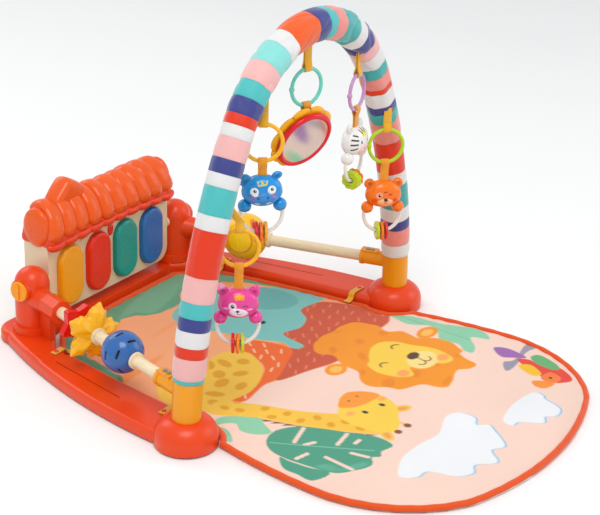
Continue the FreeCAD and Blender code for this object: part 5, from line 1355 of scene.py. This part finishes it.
for name in SKINS:
    origin, axis = toy_frame(name)
    low = np.array(JOINTS[name + "_toy_swing"]["pos_m"], float)
    centre = low - (0, 0, TOYS[name][1] + 0.019)
    skin = SKINS[name]
    roll_ = math.radians(2.5 if name == "hippo" else 0)
    tall = np.array([0, 0, 1.0]) * math.cos(roll_) - axis * math.sin(roll_)
    axis = axis * math.cos(roll_) + np.array([0, 0, 1.0]) * math.sin(roll_)
    cheeks = lambda t_: 1 + 0.035 * np.exp(-((np.cos(t_ + 0.55) - 1) / 0.12) ** 2) + 0.035 * np.exp(-((np.cos(t_ - math.pi - 0.55) - 1) / 0.12) ** 2) - 0.02 * np.sin(t_) ** 8
    head = puff((0.0235, 0.0187), 0.0138, 180, 240, cheeks, 2.7, 2.1)
    x_, y_, z_ = head[..., 0], head[..., 1], head[..., 2]
    front = np.clip(-y_ / 0.004 + 0.3, 0, 1)
    # painted light and shade: the skin is painted up to 4% lighter towards the top of the head and as much darker
    # towards the bottom
    colour = np.broadcast_to(srgb(*skin), (*x_.shape, 3)) * (1 + 0.04 * np.sin(z_ * 90))[..., None]
    lift = np.zeros_like(x_)
    for distance, tint, raise_ in face_of(name):
        d = distance(x_, z_)
        d = np.where(y_ < (-0.0045 if name == "zebra" else 0.002), d, -1.0)
        colour = lay(colour, d, tint, 0.00035)
        lift += raise_ * (np.clip(d / 0.0022 + 0.25, 0,
                                  1) ** 2 * (3 - 2 * np.clip(d / 0.0022 + 0.25, 0, 1))) * front
    head[..., 1] -= lift
    # the parting line round the two half shells
    parting = np.exp(-(y_ / 0.0007) ** 2)
    head *= (1 - 0.010 * parting)[..., None]
    surface(name + "_head_shell", placed(head, centre, axis, tall), name + "_toy", LOOKS["toy_paint"],
            poles=(True, True), paint=colour,
            slot={"hippo": "hippo_blue", "zebra": "zebra_white", "bear": "bear_orange",
                  "kitten": "kitten_pink"}[name], replaces=(name + "_head",))
    for k, (ex, ez, rx, rz, lean, deep) in enumerate(EARS[name]):
        pointed = (lambda t_: 1 + 0.34 * np.clip(np.sin(t_), 0,
                                                 1) ** 5) if name == "kitten" or (name == "hippo" and k == 1) else None
        ear = puff((rx / 1000, rz / 1000), deep / 1000, 48, 64, pointed, 2.3, 2.2)
        dish = np.clip(1 - np.hypot(ear[..., 0] / (rx * 0.00062), (ear[..., 2]) / (rz * 0.00062)), 0, 1)
        dish = np.where(ear[..., 1] < 0, dish, 0)
        # painted shade: the ear's pressed-in hollow is painted in a darker copy of the skin, 0.84 of its colour, 0.93
        # on the zebra
        tone = lay(np.broadcast_to(srgb(*skin), (*dish.shape, 3)), dish - 0.25,
                   hollow_shade(skin, 0.84 if name != "zebra" else 0.93), 0.3)
        if name == "kitten" and k == 0:
            tone = lay(tone, ear[..., 2] - rz * 0.00062, (0.98, 0.72, 0.86), 0.002)
        ear[..., 1] += 0.0022 * dish ** 0.7
        c_, s_ = math.cos(math.radians(lean)), math.sin(math.radians(lean))
        turned = np.stack([ear[..., 0] * c_ - ear[..., 2] * s_, ear[..., 1],
                           ear[..., 0] * s_ + ear[..., 2] * c_], -1)
        at = placed(np.array([ex / 1000, 0.001, ez / 1000]), centre, axis, tall)
        surface(f"{name}_ear_{k + 1}", placed(turned, at, axis, tall), name + "_toy", LOOKS["toy_paint"],
                poles=(True, True), paint=tone)
    for k, side in enumerate((-1, 1)):
        paw = puff((0.0080, 0.0078), 0.0080, 56, 64, None, 2.1, 2.0)
        toes = np.minimum.reduce([abs(paw[..., 0] - q) for q in (-0.0026, 0.0026)])
        groove = np.exp(-(toes / 0.0007) ** 2) * (paw[..., 1] < 0) * np.clip((-paw[..., 2] - 0.001) / 0.003,
            0, 1)
        paw[..., 1] += groove * 0.0009
        # painted shade: the skin is painted up to 35% darker in the pressed-in toe grooves
        tone = np.broadcast_to(srgb(*skin), (*groove.shape, 3)) * (1 - 0.35 * groove)[..., None]
        at = placed(np.array([side * 0.0204, 0.0, -0.0188]), centre, axis, tall)
        surface(f"{name}_paw_{k + 1}", placed(paw, at, axis, tall), name + "_toy", LOOKS["toy_paint"],
                poles=(True, True), paint=tone)

# %% [markdown]
# ### Discs on the grab rings

# %% Discs
DISCS = {"hippo": ((0.84, 0.17, 0.20), (0.95, 0.50, 0.17), (0.95, 0.70, 0.20)),
         "kitten": ((0.84, 0.18, 0.16), (0.96, 0.56, 0.18), (0.80, 0.86, 0.20)),
         "bear": ((0.80, 0.86, 0.20), (0.95, 0.53, 0.17), (0.86, 0.24, 0.20)),
         "zebra": ((0.78, 0.86, 0.20), (0.80, 0.87, 0.24), (0.94, 0.53, 0.20))}
for name, tints in DISCS.items():
    origin, axis = toy_frame(name)
    hub = np.array(JOINTS[name + "_beads_slide"]["pos_m"], float)
    for k, tint in enumerate(tints):
        t_ = np.linspace(0, math.pi, 26)[:, None]
        a_ = np.linspace(0, 2 * math.pi, 96, endpoint=False)[None, :]
        teeth = 1 - (0.085 if name == "zebra" else 0.035) * (0.5 + 0.5 * np.cos(a_ * (8 if name == "zebra" else 10))) ** 2
        r_ = 0.0036 + (0.0124 * teeth - 0.0036) * np.sin(t_).clip(0) ** 0.55
        w_ = -0.00235 * np.sign(np.cos(t_)) * abs(np.cos(t_)) ** 0.5 * (1 - 0.16 * np.exp(-((r_ - 0.0078) / 0.0022) ** 2))
        xk = (k - 1) * 0.0055
        drop = -math.sqrt(0.0245 ** 2 - xk ** 2)
        local = np.stack([w_ + xk + 0 * a_, r_ * np.cos(a_), drop + r_ * np.sin(a_)], -1)
        # painted shade: each disc is painted up to 12% darker along the thinner groove ring about 7.8 mm from its
        # centre
        tint_and_groove_shade = np.broadcast_to(srgb(*tint),
                                 (26, 96, 3)) * (1 - 0.12 * np.exp(-((r_ - 0.0078) / 0.0022) ** 2))[..., None]
        surface(f"{name}_disc_{k + 1}", placed(local, hub, axis), name + "_bead_set", LOOKS["bead"],
                wrap=(True, True), paint=tint_and_groove_shade,
                slot="bead_mix", replaces=(name + "_beads",) if k == 0 else ())

# %% [markdown]
# ### The mirror's flower

# %% The mirror's flower
origin, axis = toy_frame("mirror")
low = np.array(JOINTS["mirror_toy_swing"]["pos_m"], float)
lean = math.radians(22)
flat_y = np.cross((0, 0, 1), axis)
tilted_up = -math.sin(lean) * flat_y + math.cos(lean) * np.array([0, 0, 1.0])
hub = low - (0, 0, TOYS["mirror"][1] + math.hypot(0.025, 0.010))
petal = lambda t_: 0.925 + 0.075 * np.abs(np.cos(5 * t_)) ** 0.7
flower = puff((0.0445, 0.0445), 0.0036, 60, 360, petal, 4.5, 2.6)
rr, tt = np.hypot(flower[..., 0], flower[..., 2]), np.arctan2(flower[..., 2], flower[..., 0])
flower[..., 1] -= 0.0008 * np.exp(-((rr - 0.0405) / 0.0040) ** 2) * np.abs(np.cos(5 * tt)) * np.where(flower[..., 1] < 0, 1, -1)
flower[..., 1] += 0.0012 * np.exp(-(np.cos(5 * tt) / 0.18) ** 2) * np.clip((rr - 0.034) / 0.004, 0,
    1) * np.where(flower[..., 1] < 0, 1, -1)
flower[..., 1] += 0.0072
surface("mirror_flower", placed(flower, hub, axis, tilted_up), "mirror_toy", LOOKS["petal"],
        poles=(True, True), slot="star_yellow",
        replaces=("mirror_petals",))
print("hanging toys ready")
